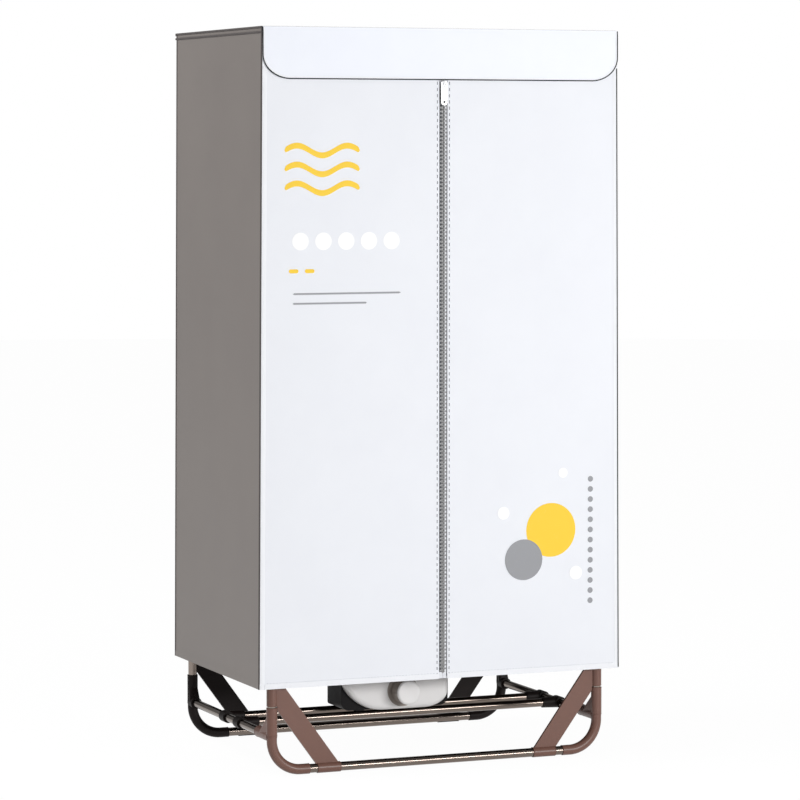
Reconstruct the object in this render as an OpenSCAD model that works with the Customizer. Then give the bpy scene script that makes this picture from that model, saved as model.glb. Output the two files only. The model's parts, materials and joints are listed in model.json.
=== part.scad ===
// Portable clothes-drying cabinet: a zipped fabric cover over a tube frame,
// with a fan heater sitting on two cross tubes under the hanging space.
// Millimetres, +Z up, the origin on the floor under the middle of the cabinet, the front towards -Y.

/* [Cover] */
// Width of the cover at its foot
cover_width = 700; // [600:1:900]
// Depth of the cover, front to back
cover_depth = 464; // [420:1:600]
// Height of the cover from its hem to its roof
cover_height = 1161; // [1000:1:1500]
// Height of the hem above the floor
hem_lift = 159; // [150:1:190]
// How far each side leans in between the hem and the roof
side_lean = 8; // [0:1:12]
// Thickness of the cover's fabric
fabric = 1; // [0.6:0.1:1.4]
// Width of the binding along each front edge
binding_width = 9; // [6:0.5:14]
// Drop of the flap over the front
flap_drop = 91; // [70:1:120]
// Radius of the flap's lower corners
flap_corner = 42; // [20:1:50]
// Gap between the flap and the front
flap_gap = 0.5; // [0.3:0.1:1]

/* [Zip] */
// Width of one row of teeth
teeth_width = 6; // [4:0.25:7]
// Thickness of the teeth, front to back
teeth_thick = 2.8; // [2:0.1:3]
// Distance from one tooth to the next in a row
teeth_pitch = 6.8; // [5:0.1:9]
// Slit between the two rows of teeth
teeth_slit = 1.2; // [1:0.1:1.6]
// Width of one zip tape
tape_width = 16; // [12:0.5:22]
// Thickness of the zip tape
tape_thick = 0.8; // [0.5:0.1:1]
// Height of the last tooth above the hem
zip_foot = 12; // [8:1:30]
// How far each half of the front draws aside
draw_aside = 270; // [200:1:270]
// Length of the slider along the zip
slider_length = 15; // [12:0.5:18]
// Length of the pull tab
tab_length = 44; // [30:1:55]
// Width of the pull tab
tab_width = 12; // [8:0.5:14]
// Thickness of the pull tab
tab_thick = 1.6; // [1:0.1:2]

/* [Frame tubes] */
// Outer diameter of the posts and base tubes
post_d = 16; // [14:0.5:17]
// Outer diameter of the side rails, cross tubes and hanging rods
rail_d = 15; // [13:0.5:15.5]
// Wall of every tube
tube_wall = 0.8; // [0.6:0.1:1.2]
// Distance from the cover's side face to the post axis, at the hem
post_inset_side = 32.5; // [30:0.5:45]
// Distance from the cover's front face to the front post axis
post_inset_front = 27; // [22:0.5:45]
// Distance from the cover's back face to the rear post axis
post_inset_back = 12; // [12:0.5:30]
// Height of the joint between the lower and upper posts
post_joint = 640; // [500:5:800]
// Height of the side rails and cross tubes above the floor
rail_height = 70.5; // [66:0.5:74]
// Distance between the two cross tubes
cross_spacing = 74; // [66:1:75]
// Distance from the front post axis to the front cross tube
cross_from_front = 164; // [150:1:200]

/* [Frame fittings] */
// Outer diameter of the elbows and brace sleeves
elbow_d = 18.4; // [18:0.2:20]
// Outer diameter of the tees, joiners and top corners
tee_d = 19.4; // [19:0.2:21]
// Bend radius of an elbow, at its centre line
elbow_bend = 54; // [50:1:58]
// Straight end of an elbow on the base tube
elbow_end = 16; // [12:1:20]
// Height of the joint between elbow and tee
elbow_top = 72; // [70:0.5:76]
// Height of the top of a tee
tee_top = 121.5; // [116:0.5:124]
// Length of a tee's side socket, from the post axis
tee_reach = 62; // [56:1:70]
// Length of a rear tee's side socket, from the post axis
tee_reach_rear = 22; // [18:1:70]
// Height of a tee's gusset where it meets the post
gusset_top = 107; // [95:1:110]
// Bare steel left between a tee and the brace sleeve above it
ring_gap = 3; // [2:0.5:5]
// Bare steel left on a rear post between the tee and the brace sleeve above it
ring_gap_rear = 37; // [3:1:40]
// Bare steel left between an elbow and the brace sleeve beside it
base_gap = 15; // [8:1:18]
// How much further from its post a rear brace's sleeve on the base tube starts
brace_shift_rear = 6; // [0:1:8]
// Length of a brace's sleeve on the base tube
brace_foot = 44; // [36:1:50]
// Length of a brace's sleeve on the post
brace_head = 60; // [50:1:70]
// Thickness of a brace's web
brace_thick = 5; // [3:0.5:8]
// Height of the joiner between lower and upper posts
joiner_height = 60; // [40:1:80]
// Running gap between a tube and the plastic round it
fit = 0.05; // [0.02:0.01:0.08]

/* [Heater] */
// Width of the heater
heater_width = 212; // [200:1:216]
// Depth of the heater's rear shell
heater_depth = 93; // [92:1:110]
// Height of the heater
heater_height = 150; // [145:1:180]
// Sideways place of the heater's middle
heater_x = -18.5; // [-24:0.5:-12]
// Distance from the front cross tube to the back of the front shell
heater_front = 9; // [9:0.5:12]
// Width of the white front shell
face_width = 216; // [210:1:220]
// How far the front shell's middle lies left of the heater's middle
face_shift = 6; // [2:0.5:8]
// Depth of the white front shell
front_shell_depth = 15; // [12:0.5:20]
// Wall of the heater's shells
shell_wall = 2.4; // [1.6:0.1:3]
// Lower left corner radius of the front shell
front_corner_left = 87; // [60:1:90]
// Other corner radius of the front shell
front_corner = 28; // [16:1:35]
// Radius of the dial ring round the timer knob
dial_r = 29.4; // [26:0.2:31]
// Radius of the timer knob
knob_r = 22.6; // [18:0.2:24]
// How far the knob stands out
knob_depth = 32; // [18:0.5:34]
// Sideways place of the knob from the heater's middle
knob_x = 9; // [2:0.5:14]
// Height of the knob's axis above the cross tubes' axis
knob_rise = 44; // [42:0.5:50]
// Radius of the fan impeller
fan_r = 33; // [28:0.5:34]

/* [Hidden] */
$fn = 64;

// Sides of the cabinet, as signs of X and Y
LEFT = -1;
RIGHT = 1;
FRONT = -1;
REAR = 1;

// Zip slider and pull, in section
plate_thick = 1.1;          // each plate of the slider
plate_gap = 0.3;            // between a plate and the teeth
pin_r = 1.15;               // the pull tab's pin
pin_off = 2.3;              // from the slider's front plate to the pin's axis
crown_out = 4.2;            // how far the crown stands out of the front plate
crown_half = 1.5;           // half the crown's width
web_thick = 0.6;            // the slider's web in the slit between the rows
seam_gap = 0.3;             // between cloth pieces that move on each other
panel_edge = 8;             // from the zip's middle to the front panel's edge
header_lap = 4;             // how far the front panels reach up behind the flap's corners

// Cover planes
roof_z = hem_lift + cover_height;
slider_out = plate_gap + plate_thick + crown_out + (teeth_thick - tape_thick) / 2 - seam_gap - fabric;
cover_front = -(cover_depth - slider_out) / 2;
cover_back = cover_front + cover_depth;
half_foot = cover_width / 2;
inner_front = cover_front + fabric;
inner_back = cover_back - fabric;
flap_bottom = roof_z - flap_drop;
panel_top = flap_bottom + flap_corner + header_lap;
header_bottom = panel_top + seam_gap;
flap_back = cover_front - flap_gap;

// Zip planes
tape_front = inner_front + seam_gap;
zip_mid_y = tape_front + tape_thick / 2;
teeth_front = zip_mid_y - teeth_thick / 2;
teeth_back = zip_mid_y + teeth_thick / 2;
zip_bottom = hem_lift + zip_foot;
slider_top = flap_bottom - 1;
zip_top = slider_top - 2;
slider_bottom = slider_top - slider_length;
plate_front = teeth_front - plate_gap;
pin_y = plate_front - plate_thick - pin_off;
pin_z = slider_top - pin_r - 1;
tab_top = pin_z + pin_r + 0.7;

// Frame axes
post_x = half_foot - post_inset_side;
front_y = cover_front + post_inset_front;
rear_y = cover_back - post_inset_back;
post_r = post_d / 2;
rail_r = rail_d / 2;
elbow_r = elbow_d / 2;
tee_r = tee_d / 2;
foot_flat = 0.4;            // how deep the flat under each round fitting is cut
base_z = elbow_r - foot_flat;
brace_start = elbow_bend + elbow_end + base_gap;
web_slope = (tee_top + ring_gap - base_z - post_r / 2) / (brace_start + 1 - post_r / 2);
cross_front_y = front_y + cross_from_front;
cross_rear_y = cross_front_y + cross_spacing;
socket_reach = 34;          // from the rail's axis to a cross-tube socket's mouth
socket_collar = 24;         // length of a socket's collar along the rail
socket_wall = 3;            // plastic round a rail or cross tube in a socket
tee_socket_start = 4;       // plastic left between the post's bore and the rail's bore
gusset_share = 0.6;         // how far along a tee's side socket its gusset reaches

// Top frame
top_axis = roof_z - fabric - seam_gap - 3 - tee_r;
top_plate = 3;              // thickness of the plate on a top corner that holds the roof
top_sleeve = 45;            // length of a top corner's sleeve below the top rails' axis
top_reach = 42;             // length of a top corner's sockets, from the post's axis
rod_inset = 130;            // from a post's axis to the hanging rod beside it, front to back
rod_y = [front_y + rod_inset, rear_y - rod_inset];

// Heater planes
heater_y = cross_front_y - heater_front;
heater_z = rail_height + rail_r + 2.5;
heater_top = heater_z + heater_height;
heater_left = heater_x - heater_width / 2;
heater_right = heater_x + heater_width / 2;
shell_corner = 16;          // corner radius of the rear shell, seen from the front
plan_corner = 30;           // rear corner radius of the rear shell, seen from above
face_y = heater_y - front_shell_depth;
face_left = heater_x - face_shift - face_width / 2;
face_top = heater_top - 4;
face_bottom = rail_height + rail_r + 1.2;
knob_axis_x = heater_x + knob_x;
knob_axis_z = rail_height + knob_rise;
dial_thick = 1.2;           // thickness of the dial ring
knob_gap = 0.4;             // between the knob and the dial ring
stem_r = 3;                 // the knob's stem
timer_size = 36;            // width and height of the timer's case
timer_depth = 30;           // depth of the timer's case
fan_x = heater_x - 42;
fan_y = heater_y + heater_depth / 2;
fan_z = heater_z + 20;      // underside of the impeller
fan_height = 16;            // height of the impeller
blade_width = 16;           // width of an impeller blade
blade_thick = 2;            // thickness of an impeller blade
motor_r = 20;               // radius of the motor
motor_z = fan_z + fan_height + 8;
motor_height = 34;          // height of the motor
shaft_r = 2;                // the motor's shaft
deck_thick = 4;             // the bridge that the motor hangs from
element_z = motor_z + motor_height + deck_thick + 14;
element_height = 18;        // height of the heating element
element_inset = 6;          // from the rear shell's side to the heating element
element_half = 18;          // half the heating element's depth, front to back
ledge = 8;                  // length of each ledge under the heating element
outlet_margin = 22;         // from the rear shell's side to the outlet opening
outlet_depth = 56;          // depth of the outlet opening
grille_thick = 2;           // thickness of the outlet grille's plate
screw_r = 2;                // shank of a shell screw
screw_head = 3.4;           // head radius of a shell screw
screw_boss = 8;             // length of the boss that a shell screw goes into

// Half width of the cover at height z
function half_at(z) = half_foot - side_lean * (z - hem_lift) / cover_height;

// Places its child at a post, with +X and +Y pointing inwards
module at_post(side, end) {
    translate([side * post_x, end == FRONT ? front_y : rear_y, 0])
        if (side == LEFT && end == FRONT) children();
        else if (side == RIGHT && end == FRONT) mirror([1, 0, 0]) children();
        else if (side == LEFT) mirror([0, 1, 0]) children();
        else mirror([1, 0, 0]) mirror([0, 1, 0]) children();
}

// Sets its child on the left side, or mirrors it to the right
module on_side(side) {
    if (side == LEFT) children();
    else mirror([1, 0, 0]) children();
}

// Upright sheet from an outline in X and Z, its back face at y and thick towards the front
module upright(y, thick, outline) {
    translate([0, y, 0]) rotate([90, 0, 0]) linear_extrude(thick) polygon(outline);
}

// Box between two corners
module block(low, high) {
    translate(low) cube(high - low);
}

// Tube along Z
module tube_z(d, low, high) {
    translate([0, 0, low])
        difference() {
            cylinder(d = d, h = high - low);
            translate([0, 0, -1]) cylinder(d = d - 2 * tube_wall, h = high - low + 2);
        }
}

// Tube along X, centred
module tube_x(d, length) {
    rotate([0, 90, 0]) tube_z(d, -length / 2, length / 2);
}

// Tube along Y between two places
module tube_y(d, low, high) {
    rotate([-90, 0, 0]) tube_z(d, low, high);
}

// ---- Cover ----

module side_panel(side) {
    color("#8b827d") on_side(side)
        upright(inner_back, cover_depth - 2 * fabric, [
            [-half_foot, hem_lift], [-half_foot + fabric, hem_lift],
            [-half_at(roof_z - fabric) + fabric, roof_z - fabric], [-half_at(roof_z - fabric), roof_z - fabric]
        ]);
}

module back_panel() {
    color("#8b827d")
        upright(cover_back, fabric, [
            [-half_foot, hem_lift], [half_foot, hem_lift],
            [half_at(roof_z - fabric), roof_z - fabric], [-half_at(roof_z - fabric), roof_z - fabric]
        ]);
}

module roof_panel() {
    color("#8b827d")
        block([-half_at(roof_z), cover_front, roof_z - fabric], [half_at(roof_z), cover_back, roof_z]);
}

module front_header() {
    low = half_at(header_bottom) - binding_width;
    high = half_at(roof_z - fabric) - binding_width;
    color("#eef0f5")
        upright(inner_front, fabric, [
            [-low, header_bottom], [low, header_bottom], [high, roof_z - fabric], [-high, roof_z - fabric]
        ]);
}

module front_panel(side) {
    color("#f1f3f8") on_side(side)
        upright(inner_front, fabric, [
            [-half_foot + binding_width, hem_lift], [-panel_edge, hem_lift], [-panel_edge, panel_top],
            [-half_at(panel_top) + binding_width, panel_top]
        ]);
}

module edge_bindings() {
    color("#fbfcff") for (side = [LEFT, RIGHT]) on_side(side)
        upright(inner_front, fabric, [
            [-half_foot, hem_lift], [-half_foot + binding_width, hem_lift],
            [-half_at(roof_z - fabric) + binding_width, roof_z - fabric], [-half_at(roof_z - fabric), roof_z - fabric]
        ]);
}

module top_flap() {
    half = half_at(roof_z);
    color("#f4f7fd")
        translate([0, flap_back, 0]) rotate([90, 0, 0]) linear_extrude(fabric)
            union() {
                translate([-half, flap_bottom + flap_corner])
                    square([2 * half, flap_drop - flap_corner - seam_gap]);
                translate([-half + flap_corner, flap_bottom])
                    square([2 * (half - flap_corner), flap_corner]);
                for (side = [LEFT, RIGHT])
                    translate([side * (half - flap_corner), flap_bottom + flap_corner]) circle(flap_corner);
            }
}

// ---- Zip ----

module zip_tape(side) {
    color("#f7f8fb") on_side(side)
        block([-tape_width, tape_front, zip_bottom - 2],
              [-teeth_slit / 2 - teeth_width / 2, tape_front + tape_thick, panel_top]);
}

// A comb: a solid edge along the tape with teeth towards the slit
module zip_teeth(side) {
    inner = teeth_slit / 2;
    root_x = inner + teeth_width / 2;
    shift = side == LEFT ? 0 : teeth_pitch / 2;
    count = floor((zip_top - zip_bottom - teeth_pitch / 2) / teeth_pitch);
    color("#9a9a9a") on_side(side) difference() {
        block([-inner - teeth_width, teeth_front, zip_bottom], [-inner, teeth_back, zip_top]);
        for (i = [0:count - 1])
            block([-root_x, teeth_front - 1, zip_bottom + shift + (i + 0.5) * teeth_pitch],
                  [-inner + 1, teeth_back + 1, zip_bottom + shift + (i + 0.9) * teeth_pitch]);
        block([-tape_width - 1, tape_front - fit, zip_bottom - 1],
              [-root_x, tape_front + tape_thick + fit, zip_top + 1]);
    }
}

module zip_slider() {
    half = teeth_slit / 2 + teeth_width;
    crown_y = plate_front - plate_thick - crown_out;
    color("#e9eaec") difference() {
        union() {
            block([-half, plate_front - plate_thick, slider_bottom], [half, plate_front, slider_top]);
            block([-half, teeth_back + plate_gap, slider_bottom],
                  [half, teeth_back + plate_gap + plate_thick, slider_top]);
            block([-web_thick / 2, plate_front - plate_thick / 2, slider_bottom],
                  [web_thick / 2, teeth_back + plate_gap + plate_thick / 2, slider_top]);
            block([-crown_half, crown_y, slider_bottom + 3], [crown_half, plate_front, slider_top]);
        }
        translate([-crown_half - 1, pin_y, pin_z]) rotate([0, 90, 0])
            cylinder(r = pin_r + fit, h = 2 * crown_half + 2);
    }
}

module pull_tab() {
    window = crown_half + 0.4;
    window_bottom = slider_bottom + 1;
    tab_bottom = tab_top - tab_length;
    end_r = tab_width / 2;
    color("#f3f4f5") {
        difference() {
            union() {
                translate([0, pin_y + tab_thick / 2, 0]) rotate([90, 0, 0]) linear_extrude(tab_thick)
                    union() {
                        translate([-end_r, tab_bottom + end_r]) square([tab_width, tab_length - end_r]);
                        translate([0, tab_bottom + end_r]) circle(end_r);
                    }
            }
            block([-window, pin_y - tab_thick, window_bottom], [window, pin_y + tab_thick, tab_top + 1]);
            translate([0, pin_y + tab_thick, tab_bottom + end_r]) rotate([90, 0, 0])
                cylinder(r = 2.2, h = 2 * tab_thick);
        }
        translate([-window - 1, pin_y, pin_z]) rotate([0, 90, 0]) cylinder(r = pin_r, h = 2 * window + 2);
    }
}

// ---- Base frame ----

module base_tube(end) {
    color("#b9ab9d") translate([0, end == FRONT ? front_y : rear_y, base_z])
        tube_x(post_d, 2 * (post_x - elbow_bend - 1.5));
}

module elbow(side, end) {
    arc_z = base_z + elbow_bend;
    tube_end = elbow_bend + 1.5;
    color("#7b5f57") at_post(side, end) difference() {
        union() {
            translate([0, 0, arc_z]) cylinder(r = elbow_r, h = elbow_top - arc_z);
            translate([elbow_bend, 0, arc_z]) rotate([90, 0, 0])
                rotate([0, 0, 180]) rotate_extrude(angle = 90) translate([elbow_bend, 0]) circle(elbow_r);
            translate([elbow_bend, 0, base_z]) rotate([0, 90, 0]) cylinder(r = elbow_r, h = elbow_end);
        }
        translate([0, 0, arc_z + 0.5]) cylinder(r = post_r + fit, h = elbow_top);
        translate([tube_end - 0.3, 0, base_z]) rotate([0, 90, 0]) cylinder(r = post_r + fit, h = elbow_end);
        block([0, -elbow_r, -elbow_r], [elbow_bend + elbow_end + 1, elbow_r, 0]);
    }
}

// The side socket narrows to its mouth, with a gusset above it
module tee(side, end) {
    reach = end == FRONT ? tee_reach : tee_reach_rear;
    socket_r = rail_r + socket_wall;
    color("#7b5f57") at_post(side, end) difference() {
        union() {
            translate([0, 0, elbow_top]) cylinder(r = tee_r, h = tee_top - elbow_top);
            translate([0, 0, rail_height]) rotate([-90, 0, 0]) cylinder(r = socket_r, h = reach);
            hull() {
                translate([0, 0, elbow_top]) cylinder(r = tee_r - 2, h = gusset_top - elbow_top, $fn = 32);
                translate([0, reach * gusset_share - 1, rail_height]) rotate([-90, 0, 0])
                    cylinder(r = socket_r, h = 1, $fn = 32);
            }
        }
        translate([0, 0, elbow_top - 1]) cylinder(r = post_r + fit, h = tee_top);
        translate([0, 0, rail_height - socket_r - 1]) cylinder(r = elbow_r + 0.6, h = elbow_top - rail_height + socket_r + 1);
        translate([0, post_r + tee_socket_start, rail_height]) rotate([-90, 0, 0])
            cylinder(r = rail_r + fit, h = reach);
    }
}

// Diagonal web between a sleeve on the base tube and a sleeve on the post; a rear one is open at its
// front, where it clips on the base tube
module brace(side, end) {
    shift = end == FRONT ? 0 : brace_shift_rear;
    start = brace_start + shift;
    brace_end = start + brace_foot;
    low = tee_top + ring_gap + web_slope * shift;
    brace_top = low + brace_head;
    sleeve_low = end == FRONT ? low : tee_top + ring_gap_rear;
    color("#80635a") at_post(side, end) difference() {
        union() {
            translate([0, 0, sleeve_low]) cylinder(r = elbow_r, h = brace_top - sleeve_low);
            translate([start, 0, base_z]) rotate([0, 90, 0]) cylinder(r = elbow_r, h = brace_foot);
            upright(brace_thick / 2, brace_thick, [
                [post_r / 2, low], [post_r / 2, brace_top],
                [brace_end, base_z + post_r / 2], [start + 1, base_z + post_r / 2]
            ]);
        }
        translate([0, 0, tee_top]) cylinder(r = post_r + fit, h = brace_top + 1 - tee_top);
        translate([0, 0, elbow_top]) cylinder(r = tee_r + 0.5, h = tee_top + ring_gap * 2 / 3 - elbow_top);
        translate([start - 1, 0, base_z]) rotate([0, 90, 0])
            cylinder(r = post_r + fit, h = brace_foot + 2);
        block([start - 1, -elbow_r, -elbow_r], [brace_end + 1, elbow_r, 0]);
        if (end == REAR) block([start - 1, brace_thick / 2, -1], [brace_end + 1, elbow_r + 1, base_z + elbow_r + 1]);
    }
}

module side_rail(side) {
    start = post_r + tee_socket_start + 0.5;
    color("#b9ab9d") translate([side * post_x, 0, rail_height])
        tube_y(rail_d, front_y + start, rear_y - start);
}

module cross_tube(y) {
    color("#b9ab9d") translate([0, y, rail_height])
        tube_x(rail_d, 2 * (post_x - rail_r - socket_wall - 1));
}

// Collar on a side rail with a socket for a tube that runs across
module rail_socket(side) {
    collar_r = rail_r + socket_wall;
    on_side(side) translate([-post_x, 0, 0]) difference() {
        union() {
            translate([0, -socket_collar / 2, 0]) rotate([-90, 0, 0]) cylinder(r = collar_r, h = socket_collar);
            rotate([0, 90, 0]) cylinder(r1 = collar_r + 0.5, r2 = rail_r + 2, h = socket_reach);
        }
        translate([0, -socket_collar, 0]) rotate([-90, 0, 0])
            cylinder(r = rail_r + fit, h = 2 * socket_collar);
        translate([collar_r + 0.5, 0, 0]) rotate([0, 90, 0]) cylinder(r = rail_r + fit, h = socket_reach);
    }
}

module cross_tube_sockets() {
    color("#5c4640") for (side = [LEFT, RIGHT], y = [cross_front_y, cross_rear_y])
        translate([0, y, rail_height]) rail_socket(side);
}

// ---- Uprights and top frame ----

module lower_post(side, end) {
    color("#b9ab9d") at_post(side, end) tube_z(post_d, base_z + elbow_bend + 1, post_joint - 0.5);
}

module upper_post(side, end) {
    color("#b9ab9d") at_post(side, end) tube_z(post_d, post_joint + 0.5, top_axis - rail_r - 1);
}

module post_joiners() {
    color("#5c4640") for (side = [LEFT, RIGHT], end = [FRONT, REAR]) at_post(side, end)
        translate([0, 0, post_joint - joiner_height / 2]) difference() {
            cylinder(r = tee_r, h = joiner_height);
            translate([0, 0, -1]) cylinder(r = post_r + fit, h = joiner_height + 2);
        }
}

// Three-way corner at the top of a post, with a plate that the roof's cloth lies on
module top_corners() {
    plate_top = roof_z - fabric - seam_gap;
    reach_x = half_at(roof_z) - fabric - 0.5 - post_x;
    color("#5c4640") for (side = [LEFT, RIGHT], end = [FRONT, REAR]) {
        reach_y = (end == FRONT ? post_inset_front : post_inset_back) - fabric - 0.2;
        at_post(side, end) difference() {
            union() {
                translate([0, 0, top_axis - top_sleeve]) cylinder(r = tee_r, h = top_sleeve + tee_r);
                translate([0, 0, top_axis]) rotate([0, 90, 0]) cylinder(r = tee_r - 0.6, h = top_reach);
                translate([0, 0, top_axis]) rotate([-90, 0, 0]) cylinder(r = tee_r - 1.2, h = top_reach);
                block([-reach_x, -reach_y, plate_top - top_plate], [top_reach, top_reach, plate_top]);
            }
            translate([0, 0, top_axis - top_sleeve - 1])
                cylinder(r = post_r + fit, h = top_sleeve - rail_r);
            translate([post_r + 4, 0, top_axis]) rotate([0, 90, 0]) cylinder(r = rail_r + fit, h = top_reach);
            translate([0, post_r + 4, top_axis]) rotate([-90, 0, 0])
                cylinder(r = rail_r + fit, h = top_reach);
        }
    }
}

module top_rail_across(end) {
    color("#b9ab9d") translate([0, end == FRONT ? front_y : rear_y, top_axis])
        tube_x(rail_d, 2 * (post_x - post_r - 4.5));
}

module top_rail_along(side) {
    color("#b9ab9d") translate([side * post_x, 0, top_axis])
        tube_y(rail_d, front_y + post_r + 4.5, rear_y - post_r - 4.5);
}

module hanging_rods() {
    color("#b9ab9d") for (y = rod_y)
        translate([0, y, top_axis]) tube_x(rail_d, 2 * (post_x - rail_r - socket_wall - 1));
}

module rod_sockets() {
    color("#5c4640") for (side = [LEFT, RIGHT], y = rod_y)
        translate([0, y, top_axis]) rail_socket(side);
}

// ---- Heater ----

// Rounded rectangle from exact squares and circles
module rounded(width, height, r) {
    union() {
        translate([r, 0]) square([width - 2 * r, height]);
        translate([0, r]) square([width, height - 2 * r]);
        for (x = [r, width - r], y = [r, height - r]) translate([x, y]) circle(r);
    }
}

// The rear shell's form, drawn in by inset on every side
module shell_form(inset) {
    width = heater_width - 2 * inset;
    depth = heater_depth - 2 * inset;
    height = heater_height - 2 * inset;
    translate([heater_left + inset, heater_y + inset, heater_z + inset]) intersection() {
        translate([0, depth, 0]) rotate([90, 0, 0]) linear_extrude(depth)
            rounded(width, height, shell_corner - inset);
        linear_extrude(height) union() {
            square([width, depth - plan_corner + inset]);
            translate([plan_corner - inset, 0]) square([width - 2 * (plan_corner - inset), depth]);
            for (x = [plan_corner - inset, width - plan_corner + inset])
                translate([x, depth - plan_corner + inset]) circle(plan_corner - inset);
        }
    }
}

module heater_rear_shell() {
    inside_top = heater_top - shell_wall;
    saddle_x = [heater_left + 40, heater_right - 40];
    saddle_half = 8;
    saddle_lap = 2.5;       // plastic behind a tube
    saddle_low = rail_height + 1;
    slot_pitch = 9;
    wall_back = heater_y + heater_depth - shell_wall;
    color("#231f20") difference() {
        union() {
            difference() {
                shell_form(0);
                shell_form(shell_wall);
            }
            // Bridge that the motor hangs from, wall to wall
            block([fan_x - 12, heater_y + shell_wall / 2, motor_z + motor_height],
                  [fan_x + 12, wall_back + shell_wall / 2, motor_z + motor_height + deck_thick]);
            // Ledges under the heating element
            for (x = [heater_left + shell_wall / 2, heater_right - shell_wall / 2 - ledge])
                block([x, fan_y - element_half - 2, element_z - 3], [x + ledge, fan_y + element_half + 2, element_z]);
            // Saddles that lie on the cross tubes and hook down behind them
            for (x = saddle_x, y = [cross_front_y, cross_rear_y])
                block([x - saddle_half, y - saddle_lap, saddle_low],
                      [x + saddle_half, y + rail_r + saddle_lap, heater_z + shell_wall / 2]);
            at_screws() translate([0, 0, -screw_boss]) cylinder(r = screw_r + 3, h = screw_boss + shell_wall / 2);
        }
        for (y = [cross_front_y, cross_rear_y])
            translate([heater_left, y, rail_height]) rotate([0, 90, 0])
                cylinder(r = rail_r + fit, h = heater_width);
        // Intake slots under the fan
        for (i = [-3:3])
            block([fan_x - 26, fan_y + i * slot_pitch - 2.5, heater_z - 1],
                  [fan_x + 26, fan_y + i * slot_pitch + 2.5, heater_z + shell_wall + 1]);
        // Outlet opening
        block([heater_left + outlet_margin, fan_y - outlet_depth / 2, inside_top - 1],
              [heater_right - outlet_margin, fan_y + outlet_depth / 2, heater_top + 1]);
        // Window for the timer
        block([knob_axis_x - timer_size / 2 - 1, heater_y - 1, knob_axis_z - timer_size / 2 - 1],
              [knob_axis_x + timer_size / 2 + 1, heater_y + shell_wall + 1, knob_axis_z + timer_size / 2 + 1]);
        at_screws() translate([0, 0, -screw_boss + 1]) cylinder(r = screw_r + fit, h = screw_boss + 2 * shell_wall);
    }
}

// Outline of the white front shell, drawn in by inset
module face_outline(inset) {
    left = face_left + inset;
    right = face_left + face_width - inset;
    low = face_bottom + inset;
    high = face_top - inset;
    rl = front_corner_left - inset;
    rc = front_corner - inset;
    union() {
        translate([left, low + rl]) square([right - left, high - rc - low - rl]);
        translate([left + rl, low]) square([right - rc - left - rl, high - low]);
        translate([right - rl, low + rc]) square([rl, high - 2 * rc - low]);
        translate([left + rc, high - rl]) square([rl, rl]);
        intersection() {
            translate([left + rl, low + rl]) circle(rl);
            translate([left, low]) square(rl);
        }
        translate([right - rc, low + rc]) circle(rc);
        for (x = [left + rc, right - rc]) translate([x, high - rc]) circle(rc);
    }
}

module heater_front_shell() {
    stem_hole = stem_r + 0.6;
    color("#f0f0f2") difference() {
        translate([0, heater_y, 0]) rotate([90, 0, 0]) linear_extrude(front_shell_depth) face_outline(0);
        translate([0, heater_y + 1, 0]) rotate([90, 0, 0]) linear_extrude(front_shell_depth - shell_wall + 1)
            face_outline(shell_wall);
        translate([knob_axis_x, heater_y, knob_axis_z]) rotate([90, 0, 0])
            cylinder(r = stem_hole, h = front_shell_depth + 1);
    }
}

// Screw places at the inside of the rear shell's back, with the child's +Z pointing out of the shell
module at_screws() {
    for (x = [heater_left + plan_corner + 6, heater_right - plan_corner - 6],
         z = [heater_z + 12, heater_top - 12])
        translate([x, heater_y + heater_depth - shell_wall, z]) rotate([-90, 0, 0]) children();
}

module heater_screws() {
    color("#bfc1c4") at_screws() {
        translate([0, 0, -screw_boss + 2]) cylinder(r = screw_r, h = screw_boss + shell_wall - 2);
        translate([0, 0, shell_wall]) cylinder(r = screw_head, h = 1.8);
    }
}

module outlet_grille() {
    x0 = heater_left + outlet_margin;
    x1 = heater_right - outlet_margin;
    bar_pitch = 8;
    bars = floor((x1 - x0) / bar_pitch) - 1;
    color("#231f20") difference() {
        block([x0 - 5, fan_y - outlet_depth / 2 - 5, heater_top],
              [x1 + 5, fan_y + outlet_depth / 2 + 5, heater_top + grille_thick]);
        for (i = [1:bars])
            block([x0 + i * bar_pitch - 2.5, fan_y - outlet_depth / 2 + 3, heater_top - 1],
                  [x0 + i * bar_pitch + 2.5, fan_y + outlet_depth / 2 - 3, heater_top + grille_thick + 1]);
    }
}

module dial_ring() {
    color("#a89f97") translate([knob_axis_x, face_y, knob_axis_z]) rotate([90, 0, 0]) difference() {
        cylinder(r = dial_r, h = dial_thick);
        translate([0, 0, -1]) cylinder(r = knob_r - 1.5, h = dial_thick + 2);
    }
}

module timer_knob() {
    back = face_y - dial_thick - knob_gap;
    stem_end = face_y + shell_wall + timer_depth - 8;
    color("#ececee") translate([knob_axis_x, back, knob_axis_z]) {
        rotate([90, 0, 0]) cylinder(r = knob_r, h = knob_depth);
        rotate([-90, 0, 0]) cylinder(r = stem_r, h = stem_end - back);
    }
}

module timer_unit() {
    front = face_y + shell_wall;
    half = timer_size / 2;
    color("#5a5d60") difference() {
        block([knob_axis_x - half, front, knob_axis_z - half],
              [knob_axis_x + half, front + timer_depth, knob_axis_z + half]);
        translate([knob_axis_x, front - 1, knob_axis_z]) rotate([-90, 0, 0])
            cylinder(r = stem_r + fit, h = timer_depth - 5);
    }
}

module fan_motor() {
    color("#8e9196") translate([fan_x, fan_y, motor_z]) difference() {
        cylinder(r = motor_r, h = motor_height);
        translate([0, 0, -1]) cylinder(r = shaft_r + fit, h = motor_height - 6);
    }
}

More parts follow.
